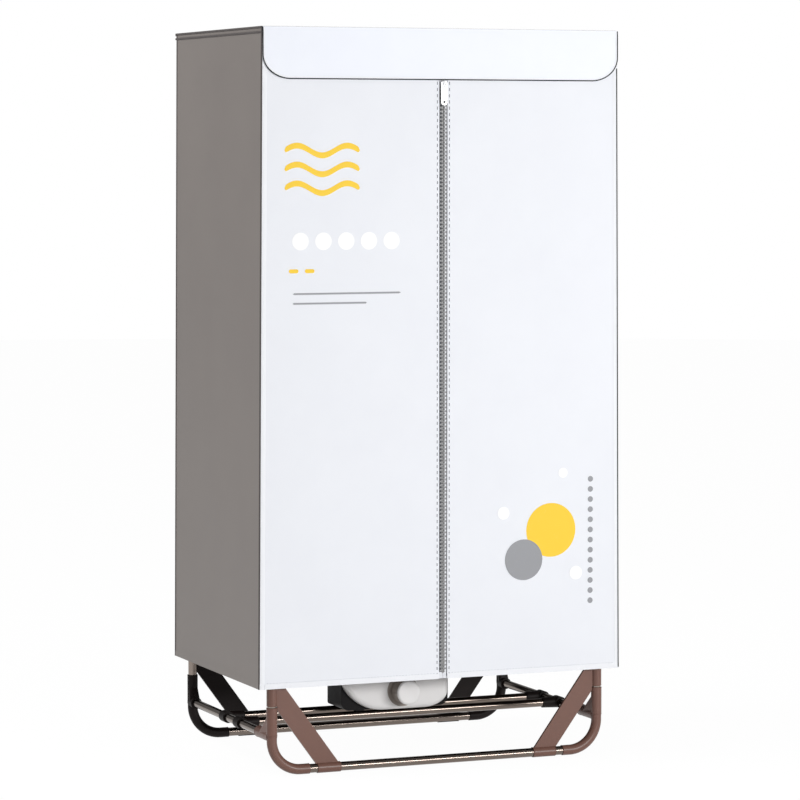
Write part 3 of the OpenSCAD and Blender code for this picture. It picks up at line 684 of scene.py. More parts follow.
@dataclass
class CoverBody:
    """The sides and back as one wrapped cloth, the roof, and the grey seam tapes on their edges."""

    shape: CoverShape
    palette: Palette
    corner: float = 0.006
    ripple: float = 0.0011
    seam_width: float = 0.0046
    top_seam_width: float = 0.0034
    tape_lift: float = 0.0003
    tape_crown: float = 0.0007
    rails_middle: float = 0.00265
    rails_half: float = 0.185
    sag: float = 0.0062
    sag_ripple: float = 0.0007
    sag_limit: float = 0.007

    def path(self, u: float, half: float) -> tuple[Vector, Vector, float]:
        """Gives a point on the wrap's outline, from the right front edge round the back to the left one.

        Args:
            u: 0 to 1 along the wrap.
            half: half the width at this height.

        Returns:
            The point, the outward direction, and the distance along the wrap.
        """
        s = self.shape
        r = self.corner
        deep = s.back - s.front - s.cloth - r
        wide = 2 * (half - r)
        turn = math.pi / 2 * r
        ends = [deep, deep + turn, deep + turn + wide, deep + 2 * turn + wide, 2 * deep + 2 * turn + wide]
        far = u * ends[-1]
        start = s.front + s.cloth
        if far <= ends[0]:
            return Vector((half, start + far, 0)), Vector((1, 0, 0)), far
        if far <= ends[1]:
            a = (far - ends[0]) / r
            out = Vector((math.cos(a), math.sin(a), 0))
            return Vector((half - r, s.back - r, 0)) + r * out, out, far
        if far <= ends[2]:
            return Vector((half - r - (far - ends[1]), s.back, 0)), Vector((0, 1, 0)), far
        if far <= ends[3]:
            a = math.pi / 2 + (far - ends[2]) / r
            out = Vector((math.cos(a), math.sin(a), 0))
            return Vector((-half + r, s.back - r, 0)) + r * out, out, far
        return Vector((-half, s.back - r - (far - ends[3]), 0)), Vector((-1, 0, 0)), far

    def calm(self, point: Vector, z: float) -> float:
        """Gives how freely the cloth may ripple: not at all over the posts, the top frame and the edges.

        Args:
            point: the place on the wrap's outline.
            z: its height.

        Returns:
            0 where the cloth is held, 1 where it is free.
        """
        s = self.shape
        # the back is free between its posts, and a side between the front seam and the rear post
        if abs(point.y - s.back) < 0.02:
            across = held((0.27 - abs(point.x)) / 0.08)
        else:
            across = held(min(point.y - s.front - 0.01, s.back - 0.03 - point.y) / 0.09)
        return across * held((s.roof - 0.05 - z) / 0.12) * held((z - s.hem) / 0.1)

    def wrap(self) -> bpy.types.Object:
        """Makes the sides and back as one sheet."""
        s = self.shape

        def place(u: float, v: float) -> Spot:
            z = s.height(v, s.hem, s.roof - 0.0002)
            point, out, far = self.path(u, s.half_at(z))
            rise = self.ripple * self.calm(point, z) * relief(far, z, 3.0, 0.16)
            spot = point + out * (rise + s.hem_rise(z, s.hem))
            return Vector((spot.x, spot.y, z)), (far, z)

        bm = laid_grid(220, 110, place, s.cloth)
        piece = self.palette.grow("cover_wrap", bm, self.palette.side_cloth)
        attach(piece, "cabinet")
        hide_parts("side_panel_left", "side_panel_right", "back_panel")
        return piece

    def roof(self) -> bpy.types.Object:
        """Makes the roof, which lies on the top corners and sags a little between them."""
        s = self.shape
        half = s.half_at(s.roof)

        def place(u: float, v: float) -> Spot:
            x, y = (2 * u - 1) * half, s.front + v * (s.back - s.front)
            deep = (y - self.rails_middle) / self.rails_half
            free = max(0.0, 1 - (x / (half - 0.045)) ** 2) * max(0.0, 1 - deep**2)
            sag = self.sag * math.sqrt(free) + self.sag_ripple * free * relief(x, y, 7.0, 0.13)
            return Vector((x, y, s.roof - min(sag, self.sag_limit))), (x, y)

        piece = self.palette.grow("roof_cloth", laid_grid(90, 60, place, s.cloth), self.palette.side_cloth)
        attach(piece, "cabinet")
        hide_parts("roof_panel")
        return piece

    def tape(
        self, start: Vector, end: Vector, out: Vector, across: Vector, width: float
    ) -> bmesh.types.BMesh:
        """Makes one straight sewn tape with a crowned face.

        Args:
            start: one end of its outer edge.
            end: the other end.
            out: the way its face looks.
            across: the way its width runs from that edge.
            width: its width.

        Returns:
            The mesh.
        """
        run = end - start

        def place(u: float, v: float) -> Spot:
            lift = self.tape_lift + self.tape_crown * math.sin(math.pi * u) ** 0.5
            return start + run * v + across * (width * u) + out * lift, (u * width, v * run.length)

        bm = laid_grid(6, 40, place, 0.0004)
        probe = max(bm.faces, key=lambda f: f.calc_center_median().dot(out))
        if probe.normal.dot(out) < 0:
            bmesh.ops.reverse_faces(bm, faces=bm.faces[:])
        return bm

    def seams(self) -> bpy.types.Object:
        """Makes the dark tapes that bind the side panels' upright and top edges and the back's top edge."""
        s, wide, narrow = self.shape, self.seam_width, self.top_seam_width
        top, low, down = s.half_at(s.roof), s.half, Vector((0, 0, -1))
        parts = []
        for side in Side:
            x = side.value
            out = Vector((x, 0, 0))
            for y, inward in ((s.front + 0.001, 1), (s.back - self.corner, -1)):
                foot, head = Vector((x * low, y, s.hem)), Vector((x * top, y, s.roof))
                parts.append(self.tape(foot, head, out, Vector((0, inward, 0)), wide))
            for drop in (0.0, 0.0085):
                half, z = s.half_at(s.roof - drop), s.roof - drop
                front, back = Vector((x * half, s.front + 0.001, z)), Vector((x * half, s.back - 0.002, z))
                parts.append(self.tape(front, back, out, down, narrow))
        left, right = Vector((-top, s.back, s.roof)), Vector((top, s.back, s.roof))
        parts.append(self.tape(left, right, Vector((0, 1, 0)), down, wide))
        piece = self.palette.grow("side_seam_tapes", joined(parts), self.palette.seam_tape)
        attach(piece, "cabinet")
        return piece

    def build(self) -> None:
        """Makes the cloth and its tapes."""
        wrap, seams = self.wrap(), self.seams()
        s = self.shape
        around = 2 * (s.back - s.front) + 2 * s.half_at((s.hem + s.roof) / 2)
        s.roof - s.hem
        self.roof()
        2 * s.half_at(s.roof)
        LOG.info("cover wrap, roof and seam tapes made")


@dataclass
class FrontPanels:
    """The header, the two halves of the zipped front, their hems, stitches and the white edge bindings."""

    shape: CoverShape
    palette: Palette
    zip_edge: float = 0.008
    top: float = 1.275
    stitch_x: float = 0.0117
    stitch_pitch: float = 0.011
    stitch_length: float = 0.0056
    thread: float = 0.0013
    hem_stitch_pitch: float = 0.006
    ripple: float = 0.0006
    keep: float = 0.19

    def surface(self, x: float, z: float) -> float:
        """Gives the y of the front cloth's face at a place."""
        s = self.shape
        edge = s.half_at(z) - s.binding
        loose = held((edge - abs(x)) / 0.06) * held((abs(x) - self.zip_edge) / 0.05)
        loose *= held((z - s.hem) / 0.05) * held((self.top - 0.05 - z) / 0.08)
        return s.front - self.ripple * loose * (0.6 + relief(x, z, 1.0, 0.15))

    def across(self, side: Side, u: float, z: float) -> float:
        """Gives a place on one half of the front.

        Args:
            side: which half.
            u: 0 at its left edge, 1 at its right edge.
            z: the height.

        Returns:
            The place's x.
        """
        edge = self.shape.half_at(z) - self.shape.binding
        left, right = (-edge, -self.zip_edge) if side is Side.LEFT else (self.zip_edge, edge)
        return left + (right - left) * u

    def cloth(self, side: Side) -> bpy.types.Object:
        """Makes one half of the front."""
        s = self.shape

        def place(u: float, v: float) -> Spot:
            z = s.height(v, s.hem, self.top)
            x = self.across(side, u, z)
            return Vector((x, self.surface(x, z) - s.hem_rise(z, s.hem), z)), (x, z)

        piece = self.palette.grow(
            f"front_cloth_{side.word}", laid_grid(70, 120, place, s.cloth), self.palette.front_cloth
        )
        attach(piece, "cabinet")
        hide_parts(f"front_panel_{side.word}")
        return piece

    def crumple(self, piece: bpy.types.Object, side: Side) -> None:
        """Gives a piece its own copy of its mesh."""
        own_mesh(piece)

    def stitches(self, side: Side) -> bpy.types.Object:
        """Makes the row of stitches beside the zip and the finer row along the hem."""
        s, pitch = self.shape, self.hem_stitch_pitch
        x = side.value * self.stitch_x
        places = []
        for i in range(int((self.top - 0.012 - s.hem) / self.stitch_pitch)):
            z = s.hem + 0.008 + i * self.stitch_pitch
            places.append(Matrix.Translation((x, self.surface(x, z) - 0.0002, z)))
        seed = rounded_block((self.thread, 0.0007, self.stitch_length), 0.0003, 1)
        upright = copies(seed, places)
        places = []
        z = s.hem + s.hem_height + 0.0012
        for i in range(int((s.half - s.binding - self.stitch_x) / pitch)):
            x = side.value * (self.stitch_x + pitch * (i + 1))
            places.append(Matrix.Translation((x, self.surface(x, z) - 0.0001, z)))
        seed = rounded_block((0.004, 0.0005, 0.0006), 0.0002, 1)
        piece = self.palette.grow(
            f"front_stitches_{side.word}",
            joined([upright, copies(seed, places)]),
            self.palette.thread,
        )
        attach(piece, "cabinet")
        return piece

    def hem_tape(self, side: Side) -> bpy.types.Object:
        """Makes the white tape on the hem of one half."""
        s = self.shape

        def place(u: float, v: float) -> Spot:
            z = s.hem + s.hem_height * v
            x = self.across(side, u, z)
            return Vector((x, self.surface(x, z) - 0.001, z)), (x, z)

        bm = laid_grid(70, 4, place, 0.0003)
        piece = self.palette.grow(f"front_hem_tape_{side.word}", bm, self.palette.binding)
        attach(piece, "cabinet")
        return piece

    def header(self) -> bpy.types.Object:
        """Makes the strip behind the flap."""
        s = self.shape
        low, high = self.top + 0.0003, s.roof - s.cloth

        def place(u: float, v: float) -> Spot:
            z = low + (high - low) * v
            x = (2 * u - 1) * (s.half_at(z) - s.binding)
            return Vector((x, s.front, z)), (x, z)

        piece = self.palette.grow("header_cloth", laid_grid(60, 8, place, s.cloth), self.palette.front_cloth)
        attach(piece, "cabinet")
        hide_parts("front_header")
        return piece

    def bindings(self) -> bpy.types.Object:
        """Makes the white tapes that bind the front's upright edges."""
        s = self.shape
        parts = []
        for side in Side:

            def place(u: float, v: float, sign: int = side.value) -> Spot:
                z = s.hem + (s.roof - s.cloth - s.hem) * v
                half = s.half_at(z)
                x = sign * (half - s.binding + (s.binding - 0.0002) * (u if sign > 0 else 1 - u))
                crown = 0.0005 * math.sin(math.pi * u) ** 0.5
                return Vector((x, s.front - 0.0002 - crown, z)), (x, z)

            parts.append(laid_grid(8, 60, place, 0.0008))
        piece = self.palette.grow("edge_binding_tapes", joined(parts), self.palette.binding)
        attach(piece, "cabinet")
        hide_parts("edge_bindings")
        return piece

    def seam_line(self) -> bpy.types.Object:
        """Makes a dark line of painted shadow along the front's right edge, up to the flap's corner."""
        s, width = self.shape, 0.002
        low, high = s.hem + 0.002, s.roof - 0.068

        def place(u: float, v: float) -> Spot:
            z = low + (high - low) * v
            x = s.half_at(z) - 0.0006 - width * (1 - u)
            return Vector((x, s.front - 0.0011 - 0.0002 * math.sin(math.pi * u), z)), (x, z)

        piece = self.palette.grow("binding_seam_line", laid_grid(2, 40, place, 0.0004), self.palette.edging)
        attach(piece, "cabinet")
        return piece

    def build(self) -> None:
        """Makes the front."""
        s = self.shape
        header, bindings, lines = self.header(), self.bindings(), self.seam_line()
        2 * (s.half_at(1.3) - s.binding)
        for side in Side:
            cloth, stitches, hem = self.cloth(side), self.stitches(side), self.hem_tape(side)
            for piece in (cloth, stitches, hem):
                self.crumple(piece, side)
            width = s.half_at((s.hem + self.top) / 2) - s.binding - self.zip_edge
            self.top - s.hem
            LOG.info("front cloth and stitches made, %s", side.word)


@dataclass
class FrontPrint:
    """A plain pattern of discs, waves and bars, printed on the two front halves."""

    panels: FrontPanels
    palette: Palette
    proud: float = 0.0003
    over_proud: float = 0.00055  # for ink that lies over other ink
    ink_thick: float = 0.0002
    waves_at: tuple[float, ...] = (1.104, 1.071, 1.038)  # heights
    lines_at: tuple[tuple[float, float], ...] = ((0.853, 0.205), (0.836, 0.14))  # heights and lengths
    small_discs: tuple[tuple[float, float, float], ...] = (  # X, Z and radius
        (0.262, 0.338, 0.0125),
        (0.118, 0.452, 0.0115),
        (0.236, 0.521, 0.009),
    )

    def lay(self, bm: bmesh.types.BMesh) -> bmesh.types.BMesh:
        """Lays a flat shape, drawn in X and Z, on the cloth's face with a little thickness."""
        for face in bm.faces:
            face.normal_update()
        up = [f for f in bm.faces if f.normal.y > 0]
        bmesh.ops.reverse_faces(bm, faces=up)
        for vert in bm.verts:
            vert.co.y = self.panels.surface(vert.co.x, vert.co.z) - self.proud
        bm.normal_update()
        bmesh.ops.solidify(bm, geom=bm.faces[:], thickness=self.ink_thick)
        return bm

    def disc(self, x: float, z: float, radius: float) -> bmesh.types.BMesh:
        """Makes a printed disc.

        Args:
            x: X of its middle.
            z: Z of its middle.
            radius: its radius.

        Returns:
            The mesh.
        """
        bm = bmesh.new()
        bmesh.ops.create_circle(bm, cap_ends=True, cap_tris=True, segments=40, radius=radius)
        bmesh.ops.subdivide_edges(bm, edges=bm.edges[:], cuts=2, use_grid_fill=True)
        upright = Matrix.Translation((x, 0, z)) @ Matrix.Rotation(math.pi / 2, 4, "X")
        bmesh.ops.transform(bm, matrix=upright, verts=bm.verts)
        return self.lay(bm)

    def ribbon(
        self, start: tuple[float, float], length: float, width: float, swing: float = 0.0, waves: float = 0.0
    ) -> bmesh.types.BMesh:
        """Makes a printed bar with round ends that may wave.

        Args:
            start: X and Z of its left end.
            length: its length along X.
            width: its width.
            swing: how far it waves up and down.
            waves: how many waves it makes.

        Returns:
            The mesh.
        """
        bm = bmesh.new()
        bmesh.ops.create_grid(bm, x_segments=60, y_segments=6, size=0.5)
        half = width / 2
        for vert in bm.verts:
            along, side = (vert.co.x + 0.5) * length, vert.co.y * 2
            near = min(along, length - along)
            reach = half if near >= half else math.sqrt(max(half**2 - (half - near) ** 2, 1e-10))
            rise = swing * math.sin(math.tau * waves * along / length)
            vert.co = Vector((start[0] + along, 0, start[1] + rise + side * reach))
        return self.lay(bm)

    def ink(self, name: str, parts: list[bmesh.types.BMesh], finish: Finish, side: Side) -> None:
        """Makes one colour of the print on one half of the front.

        Args:
            name: the piece's name.
            parts: its shapes, which are freed.
            finish: its ink.
            side: the half that it is printed on.
        """
        piece = self.palette.grow(name, joined(parts), finish)
        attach(piece, "cabinet")
        self.panels.crumple(piece, side)

    def build(self) -> None:
        """Prints both halves."""
        p = self.palette
        waves = [self.ribbon((-0.302, z), 0.142, 0.0105, 0.0085, 1.5) for z in self.waves_at]
        bars = [self.ribbon((-0.294 + 0.03 * i, 0.893), 0.018, 0.007) for i in range(2)]
        self.ink("print_waves_yellow", waves + bars, p.ink_yellow, Side.LEFT)
        pale = [self.disc(-0.272 + 0.043 * i, 0.945, 0.0155) for i in range(5)]
        self.ink("print_discs_white", pale, p.ink_white, Side.LEFT)
        lines = [self.ribbon((-0.287, z), length, 0.0032) for z, length in self.lines_at]
        self.ink("print_lines_grey", lines, p.ink_grey, Side.LEFT)
        self.ink("print_disc_yellow", [self.disc(0.212, 0.418, 0.049)], p.ink_yellow, Side.RIGHT)
        dots = [self.disc(0.291, 0.286 + 0.0185 * i, 0.0052) for i in range(13)]
        over = FrontPrint(self.panels, p, self.over_proud)
        self.ink("print_discs_grey", [over.disc(0.158, 0.366, 0.037), *dots], p.ink_grey, Side.RIGHT)
        small = [over.disc(x, z, r) for x, z, r in self.small_discs]
        self.ink("print_small_discs_white", small, p.ink_white, Side.RIGHT)
        LOG.info("front print made")


@dataclass
class TopFlap:
    """The flap over the top of the front: rounded lower corners, a white rim, and a dark strip of painted
    shadow under it.
    """

    shape: CoverShape
    palette: Palette
    gap: float = 0.0005
    corner_width: float = 0.052
    rim: float = 0.0045
    fold: float = 0.001  # the edge strips start this far below the roof
    ease: float = 0.012  # and rise from it to their full height over this length
    bow: float = 0.0004
    ripple: float = 0.0003

    def half_at(self, z: float, grow: float = 0.0) -> float:
        """Gives the flap's half width at a height, with its outline grown by a margin."""
        s = self.shape
        low, tall, wide = s.roof - s.flap_drop - grow, s.flap_corner + grow, self.corner_width + grow
        half = s.half_at(s.roof) + grow
        if z >= low + tall:
            return half
        return half - wide + wide * math.sqrt(max(1 - ((low + tall - z) / tall) ** 2, 0.0))

    def outline(self, t: float, inset: float) -> tuple[float, float, float]:
        """Gives a point on the flap's free edge, from the top left corner down and round to the right one.

        Args:
            t: 0 to 1 along the edge.
            inset: how far inside the edge.

        Returns:
            X, Z and the distance along the edge.
        """
        s = self.shape
        r, rx = s.flap_corner, self.corner_width
        half, low, high = s.half_at(s.roof), s.roof - s.flap_drop, s.roof - self.fold
        drop, turn, wide = high - low - r, math.pi / 4 * (r + rx), 2 * (half - rx)
        total = 2 * drop + 2 * turn + wide
        far = t * total
        if far <= drop:
            return -half + inset, high - far, far
        if far <= drop + turn:
            a = (far - drop) / turn * math.pi / 2
            return -half + rx - (rx - inset) * math.cos(a), low + r - (r - inset) * math.sin(a), far
        if far <= drop + turn + wide:
            return -half + rx + (far - drop - turn), low + inset, far
        if far <= drop + 2 * turn + wide:
            a = (far - drop - turn - wide) / turn * math.pi / 2
            return half - rx + (rx - inset) * math.sin(a), low + r - (r - inset) * math.cos(a), far
        return half - inset, low + r + (far - drop - 2 * turn - wide), far

    def face(self, x: float, z: float) -> float:
        """Gives the y of the flap's face at a place: it bows out a little towards its foot."""
        s = self.shape
        down = (s.roof - z) / s.flap_drop
        free = 1 - (x / s.half) ** 2
        back = s.front - self.gap - s.cloth
        return back - self.bow * down * (1 + free) - self.ripple * down * relief(x, z, 5.0, 0.12)

    def cloth(self) -> bpy.types.Object:
        """Makes the flap's cloth."""
        s = self.shape
        low, high = s.roof - s.flap_drop, s.roof - 0.0004

        def place(u: float, v: float) -> Spot:
            z = low + (high - low) * (v**1.8)
            x = (2 * u - 1) * self.half_at(z)
            return Vector((x, self.face(x, z), z)), (x, z)

        piece = self.palette.grow("flap_cloth", laid_grid(90, 26, place, s.cloth), self.palette.flap_cloth)
        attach(piece, "flap")
        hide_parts("top_flap")
        return piece

    def edge_strip(
        self, name: str, finish: Finish, spans: tuple[float, float], proud: float, thick: float
    ) -> bpy.types.Object:
        """Makes a strip that follows the flap's free edge.

        Args:
            name: the piece's name.
            finish: its finish.
            spans: how far inside the edge it starts and ends; below zero is outside.
            proud: how far it stands in front of the flap's face.
            thick: its thickness.

        Returns:
            The piece.
        """

        def place(u: float, v: float) -> Spot:
            inset = spans[1] + (spans[0] - spans[1]) * u
            x, z, far = self.outline(v, inset)
            rise = min(1.0, (self.shape.roof - z) / self.ease) * (proud + 0.0003 * math.sin(math.pi * u))
            return Vector((x, self.face(x, z) - rise, z)), (inset, far)

        piece = self.palette.grow(name, laid_grid(4, 260, place, thick), finish)
        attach(piece, "flap")
        return piece

    def build(self) -> None:
        """Makes the flap and its edges."""
        s = self.shape
        cloth = self.cloth()
        rim = self.edge_strip("flap_rim", self.palette.binding, (0.0, self.rim), 0.0002, 0.0005)
        # a dark strip of painted shadow under the flap's free edge
        edging = self.edge_strip("flap_edging", self.palette.edging, (-0.0007, 0.0014), 0.0007, 0.0016)
        flat = (2 * s.half_at(s.roof), s.flap_drop)
        LOG.info("flap made")


# ------------------------------------------------------------------------------------------ the zip


@dataclass
class Zip:
    """The zip: two woven tapes, two rows of moulded teeth, the slider and its pull tab."""

    shape: CoverShape
    palette: Palette
    tape_front: float = -0.22805
    tape_width: float = 0.016
    tape_thick: float = 0.0008
    slit: float = 0.0012
    teeth_width: float = 0.006
    teeth_thick: float = 0.0028
    pitch: float = 0.0068
    foot: float = 0.171
    head: float = 1.226
    tape_top: float = 1.275
    slider_top: float = 1.228
    slider_length: float = 0.015
    pin: tuple[float, float] = (-0.23275, 1.22585)
    tab_top: float = 1.2277
    tab_length: float = 0.044
    tab_width: float = 0.012
    tab_thick: float = 0.0016

    @property
    def hem(self) -> float:
        """The cover's hem, from which the tapes rise."""
        return self.shape.hem

    @property
    def middle(self) -> float:
        """The y of the teeth's middle plane."""
        return self.tape_front + self.tape_thick / 2

    def tape(self, side: Side) -> bpy.types.Object:
        """Makes one zip tape."""
        outer, low, sign = self.tape_width, self.hem + 0.0004, side.value
        closed_share = 0.05

        def place(u: float, v: float) -> Spot:
            if v < closed_share:
                inner, z = self.slit / 4, low + (self.foot - low) * v / closed_share
            else:
                inner = self.slit / 2 + self.teeth_width / 2
                z = self.foot + (self.tape_top - self.foot) * (v - closed_share) / (1 - closed_share)
            x = inner + (outer - inner) * (u if sign > 0 else 1 - u)
            return Vector((sign * x, self.tape_front, z)), (x, z)

        bm = laid_grid(6, 100, place, self.tape_thick)
        piece = self.palette.grow(f"zip_tape_cloth_{side.word}", bm, self.palette.zip_tape)
        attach(piece, f"zip_half_{side.word}")
        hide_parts(f"zip_tape_{side.word}")
        return piece

    def tooth(self, sign: int) -> bmesh.types.BMesh:
        """Makes one tooth: a broad head that meets the other row's, and a narrow foot on the tape."""
        outer = self.slit / 2 + self.teeth_width
        parts = []
        for start, end, thick, tall in (
            (0.00028, 0.0034, self.teeth_thick, 0.0063),
            (0.0031, outer, self.teeth_thick - 0.0006, 0.0034),
        ):
            at = (sign * (start + end) / 2, self.middle, 0)
            parts.append(block_at((end - start, thick, tall), 0.0006, at))
        return joined(parts)

    def chain(self, side: Side) -> bpy.types.Object:
        """Makes one row of teeth, in place of the plain comb."""
        sign = side.value
        shift = 0.0 if side is Side.LEFT else self.pitch / 2
        first = self.foot + 0.0025
        count = int((self.head - first - shift) / self.pitch)
        teeth = copies(
            self.tooth(sign),
            [Matrix.Translation((0, 0, first + shift + i * self.pitch)) for i in range(count)],
        )
        piece = self.palette.grow(f"zip_chain_{side.word}", teeth, self.palette.teeth)
        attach(piece, f"zip_half_{side.word}")
        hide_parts(f"zip_teeth_{side.word}")
        return piece

    def cord(self, side: Side) -> bpy.types.Object:
        """Makes a tape's dark band of painted shade: under the left row's feet, and a thin painted shadow line
        outside the right row.
        """
        if side is Side.LEFT:
            inner, outer, low = 0.0037, 0.0071, self.foot
        else:
            inner, outer, low = 0.0068, 0.0075, self.hem + 0.004

        def place(u: float, v: float) -> Spot:
            x = side.value * (inner + (outer - inner) * (u if side is Side.RIGHT else 1 - u))
            z = low + (self.head - low) * v
            return Vector((x, self.tape_front - 0.0004, z)), (x, z)

        bm = laid_grid(2, 60, place, 0.0003)
        piece = self.palette.grow(f"zip_cord_{side.word}", bm, self.palette.zip_cord)
        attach(piece, f"zip_half_{side.word}")
        return piece

    def slider(self) -> bpy.types.Object:
        """Makes the slider: two shaped plates, the web between them, and the crown that holds the pin."""
        half = self.slit / 2 + self.teeth_width
        low, high = self.slider_top - self.slider_length, self.slider_top
        gap = self.teeth_thick / 2 + 0.0003
        parts = []
        for sign in (-1, 1):
            plate = rounded_block((2 * half, 0.0011, self.slider_length), 0.00035, 2)
            for vert in plate.verts:
                if vert.co.z < 0:
                    vert.co.x *= 1 - 0.28 * (-2 * vert.co.z / self.slider_length) ** 2
            bmesh.ops.translate(
                plate, vec=(0, self.middle + sign * (gap + 0.00055), (low + high) / 2), verts=plate.verts
            )
            parts.append(plate)
        middle = (low + high) / 2
        web = (0.0004, 2 * gap + 0.0006, self.slider_length - 0.001)
        parts.append(block_at(web, 0.0001, (0, self.middle, middle), 1))
        front = self.middle - gap - 0.0011
        for z, tall in ((high - 0.0008, 0.0016), (low + 0.0042, 0.0022)):
            parts.append(block_at((0.003, 0.0042, tall), 0.0004, (0, front - 0.0020, z)))
        bridge = (0, front - 0.0038, (high + low + 0.003) / 2)
        parts.append(block_at((0.003, 0.0009, 0.0115), 0.0004, bridge))
        piece = self.palette.grow("zip_slider_body", joined(parts), self.palette.enamel)
        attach(piece, "slider")
        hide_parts("zip_slider")
        return piece

    def tab(self) -> bpy.types.Object:
        """Makes the pull tab: a flat plate with round ends and two holes, and its pin."""
        y, pin_z = self.pin
        length, width = self.tab_length, self.tab_width
        half = width / 2
        centre_z = self.tab_top - length / 2
        bm = bmesh.new()
        bmesh.ops.create_circle(bm, cap_ends=False, segments=40, radius=half)
        straight = length - 2 * half
        for vert in bm.verts:
            vert.co.y += straight / 2 if vert.co.y > 0 else -straight / 2
        edges = bm.edges[:]
        for cy, r in ((length / 2 - 0.0065, 0.0028), (-length / 2 + half, 0.0024)):
            made = bmesh.ops.create_circle(
                bm, cap_ends=False, segments=20, radius=r, matrix=Matrix.Translation((0, cy, 0))
            )
            edges += list({e for v in made["verts"] for e in v.link_edges})
        bmesh.ops.triangle_fill(bm, use_beauty=True, use_dissolve=False, edges=edges)
        bmesh.ops.rotate(bm, cent=(0, 0, 0), matrix=Matrix.Rotation(math.pi / 2, 3, "X"), verts=bm.verts)
        bmesh.ops.translate(bm, vec=(0, y - self.tab_thick / 2, centre_z), verts=bm.verts)
        bm.normal_update()
        if next(iter(bm.faces)).normal.y > 0:
            bmesh.ops.reverse_faces(bm, faces=bm.faces[:])
        bmesh.ops.solidify(bm, geom=bm.faces[:], thickness=self.tab_thick)
        pin = bmesh.new()
        bmesh.ops.create_cone(pin, cap_ends=True, segments=20, radius1=0.0011, radius2=0.0011, depth=0.0075)
        bmesh.ops.rotate(pin, cent=(0, 0, 0), matrix=Matrix.Rotation(math.pi / 2, 3, "Y"), verts=pin.verts)
        bmesh.ops.translate(pin, vec=(0, y, pin_z), verts=pin.verts)
        piece = self.palette.grow("pull_tab_plate", joined([bm, pin]), self.palette.enamel)
        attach(piece, "tab")
        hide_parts("pull_tab")
        return piece

    def build(self) -> None:
        """Makes the zip."""
        for side in Side:
            tape = self.tape(side)
            chain, cord = self.chain(side), self.cord(side)
            self.tape_top - self.hem
        self.slider()
        self.tab()
        LOG.info("zip made")


# ---------------------------------------------------------------------------------------- the frame


@dataclass
class TubeFrame:
    """The tubes and fittings: CAD solids with their finishes, and the rolled lips at the sleeves' ends."""

    palette: Palette
    post_x: float = 0.3175
    front_y: float = -0.20235
    rear_y: float = 0.22265
    base_z: float = 0.0088
    rail_z: float = 0.0705
    elbow_r: float = 0.0092
    tee_r: float = 0.0097
    socket_r: float = 0.0105

    def dress(self, frame: dict) -> None:
        """Gives each CAD node of the frame its finish."""
        p = self.palette
        brown = ("elbow_front", "tee_front", "brace_front")
        sockets = ("cross_tube_sockets", "post_joiners", "top_corners", "rod_sockets")
        dark = ("elbow_rear", "tee_rear", "brace_rear", *sockets)
        across = ("base_tube", "cross_tube", "hanging_rods", "top_rail_front", "top_rail_rear")
        # a name belongs to the first group that it fits, so the sockets stand before the cross tubes
        groups = (
            (brown, p.brown),
            (dark, p.dark),
            (across, p.steel_across),
            (("side_rail", "top_rail"), p.steel_deep),
            (("lower_post", "upper_post"), p.steel_upright),
        )
        for name, node in frame["nodes"].items():
            finish = next((own for starts, own in groups if name.startswith(starts)), None)
            if finish is not None:
                p.coat_node(node, finish)

    def lip(self, radius: float, centre: Vector, along: Vector, bead: float = 0.0006) -> bmesh.types.BMesh:
        """Makes one rolled lip round a sleeve's end.

        Args:
            radius: the sleeve's outer radius.
            centre: the middle of the sleeve's end.
            along: the sleeve's direction.
            bead: the lip's own radius.

        Returns:
            The mesh, flat where it would go under the floor.
        """
        bm = bmesh.new()
        upright = Matrix.Translation((radius - bead * 0.4, 0, 0)) @ Matrix.Rotation(math.pi / 2, 4, "X")
        bmesh.ops.create_circle(bm, segments=8, radius=bead, matrix=upright)
        spin_round(bm, 40)
        bmesh.ops.recalc_face_normals(bm, faces=bm.faces)
        turn = Vector((0, 0, 1)).rotation_difference(along).to_matrix().to_4x4()
        bmesh.ops.transform(bm, matrix=Matrix.Translation(centre) @ turn, verts=bm.verts)
        for vert in bm.verts:
            vert.co.z = max(vert.co.z, 0.0001)
        return bm

    def lips(self) -> None:
        """Makes the lips of the four base corners, one piece for the front pair and one for the rear pair."""
        thin, thick = self.elbow_r, self.tee_r
        # for each pair: the lips' heights and radii on a post, how far in from the post they are on the base
        # tube, and how far from the post's middle the side socket's mouth is
        for end, y, finish, slot, rings, feet, mouth in (
            (
                "front",
                self.front_y,
                self.palette.brown,
                "fitting_brown",
                ((0.0716, thin), (0.0724, thick), (0.1211, thick), (0.1249, thin)),
                (0.0696, 0.0854, 0.1286),
                0.0616,
            ),
            (
                "rear",
                self.rear_y,
                self.palette.dark,
                "fitting_dark",
                ((0.0716, thin), (0.0724, thick), (0.1211, thick), (0.1589, thin)),
                (0.0696,),
                -0.0216,
            ),
        ):
            parts = []
            up, across, deep = Vector((0, 0, 1)), Vector((1, 0, 0)), Vector((0, 1, 0))
            for side in Side:
                x = side.value * self.post_x
                for z, r in rings:
                    parts.append(self.lip(r, Vector((x, y, z)), up))
                for far in feet:
                    parts.append(self.lip(thin, Vector((x - side.value * far, y, self.base_z)), across))
                parts.append(self.lip(self.socket_r, Vector((x, y + mouth, self.rail_z)), deep))
            piece = self.palette.grow(f"sleeve_lips_{end}", joined(parts), self.palette.get(finish))
            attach(piece, "cabinet")

    def build(self, frame: dict) -> None:
        """Dresses the frame and makes its lips."""
        self.dress(frame)
        self.lips()
        LOG.info("frame dressed")


# --------------------------------------------------------------------------------------- the heater


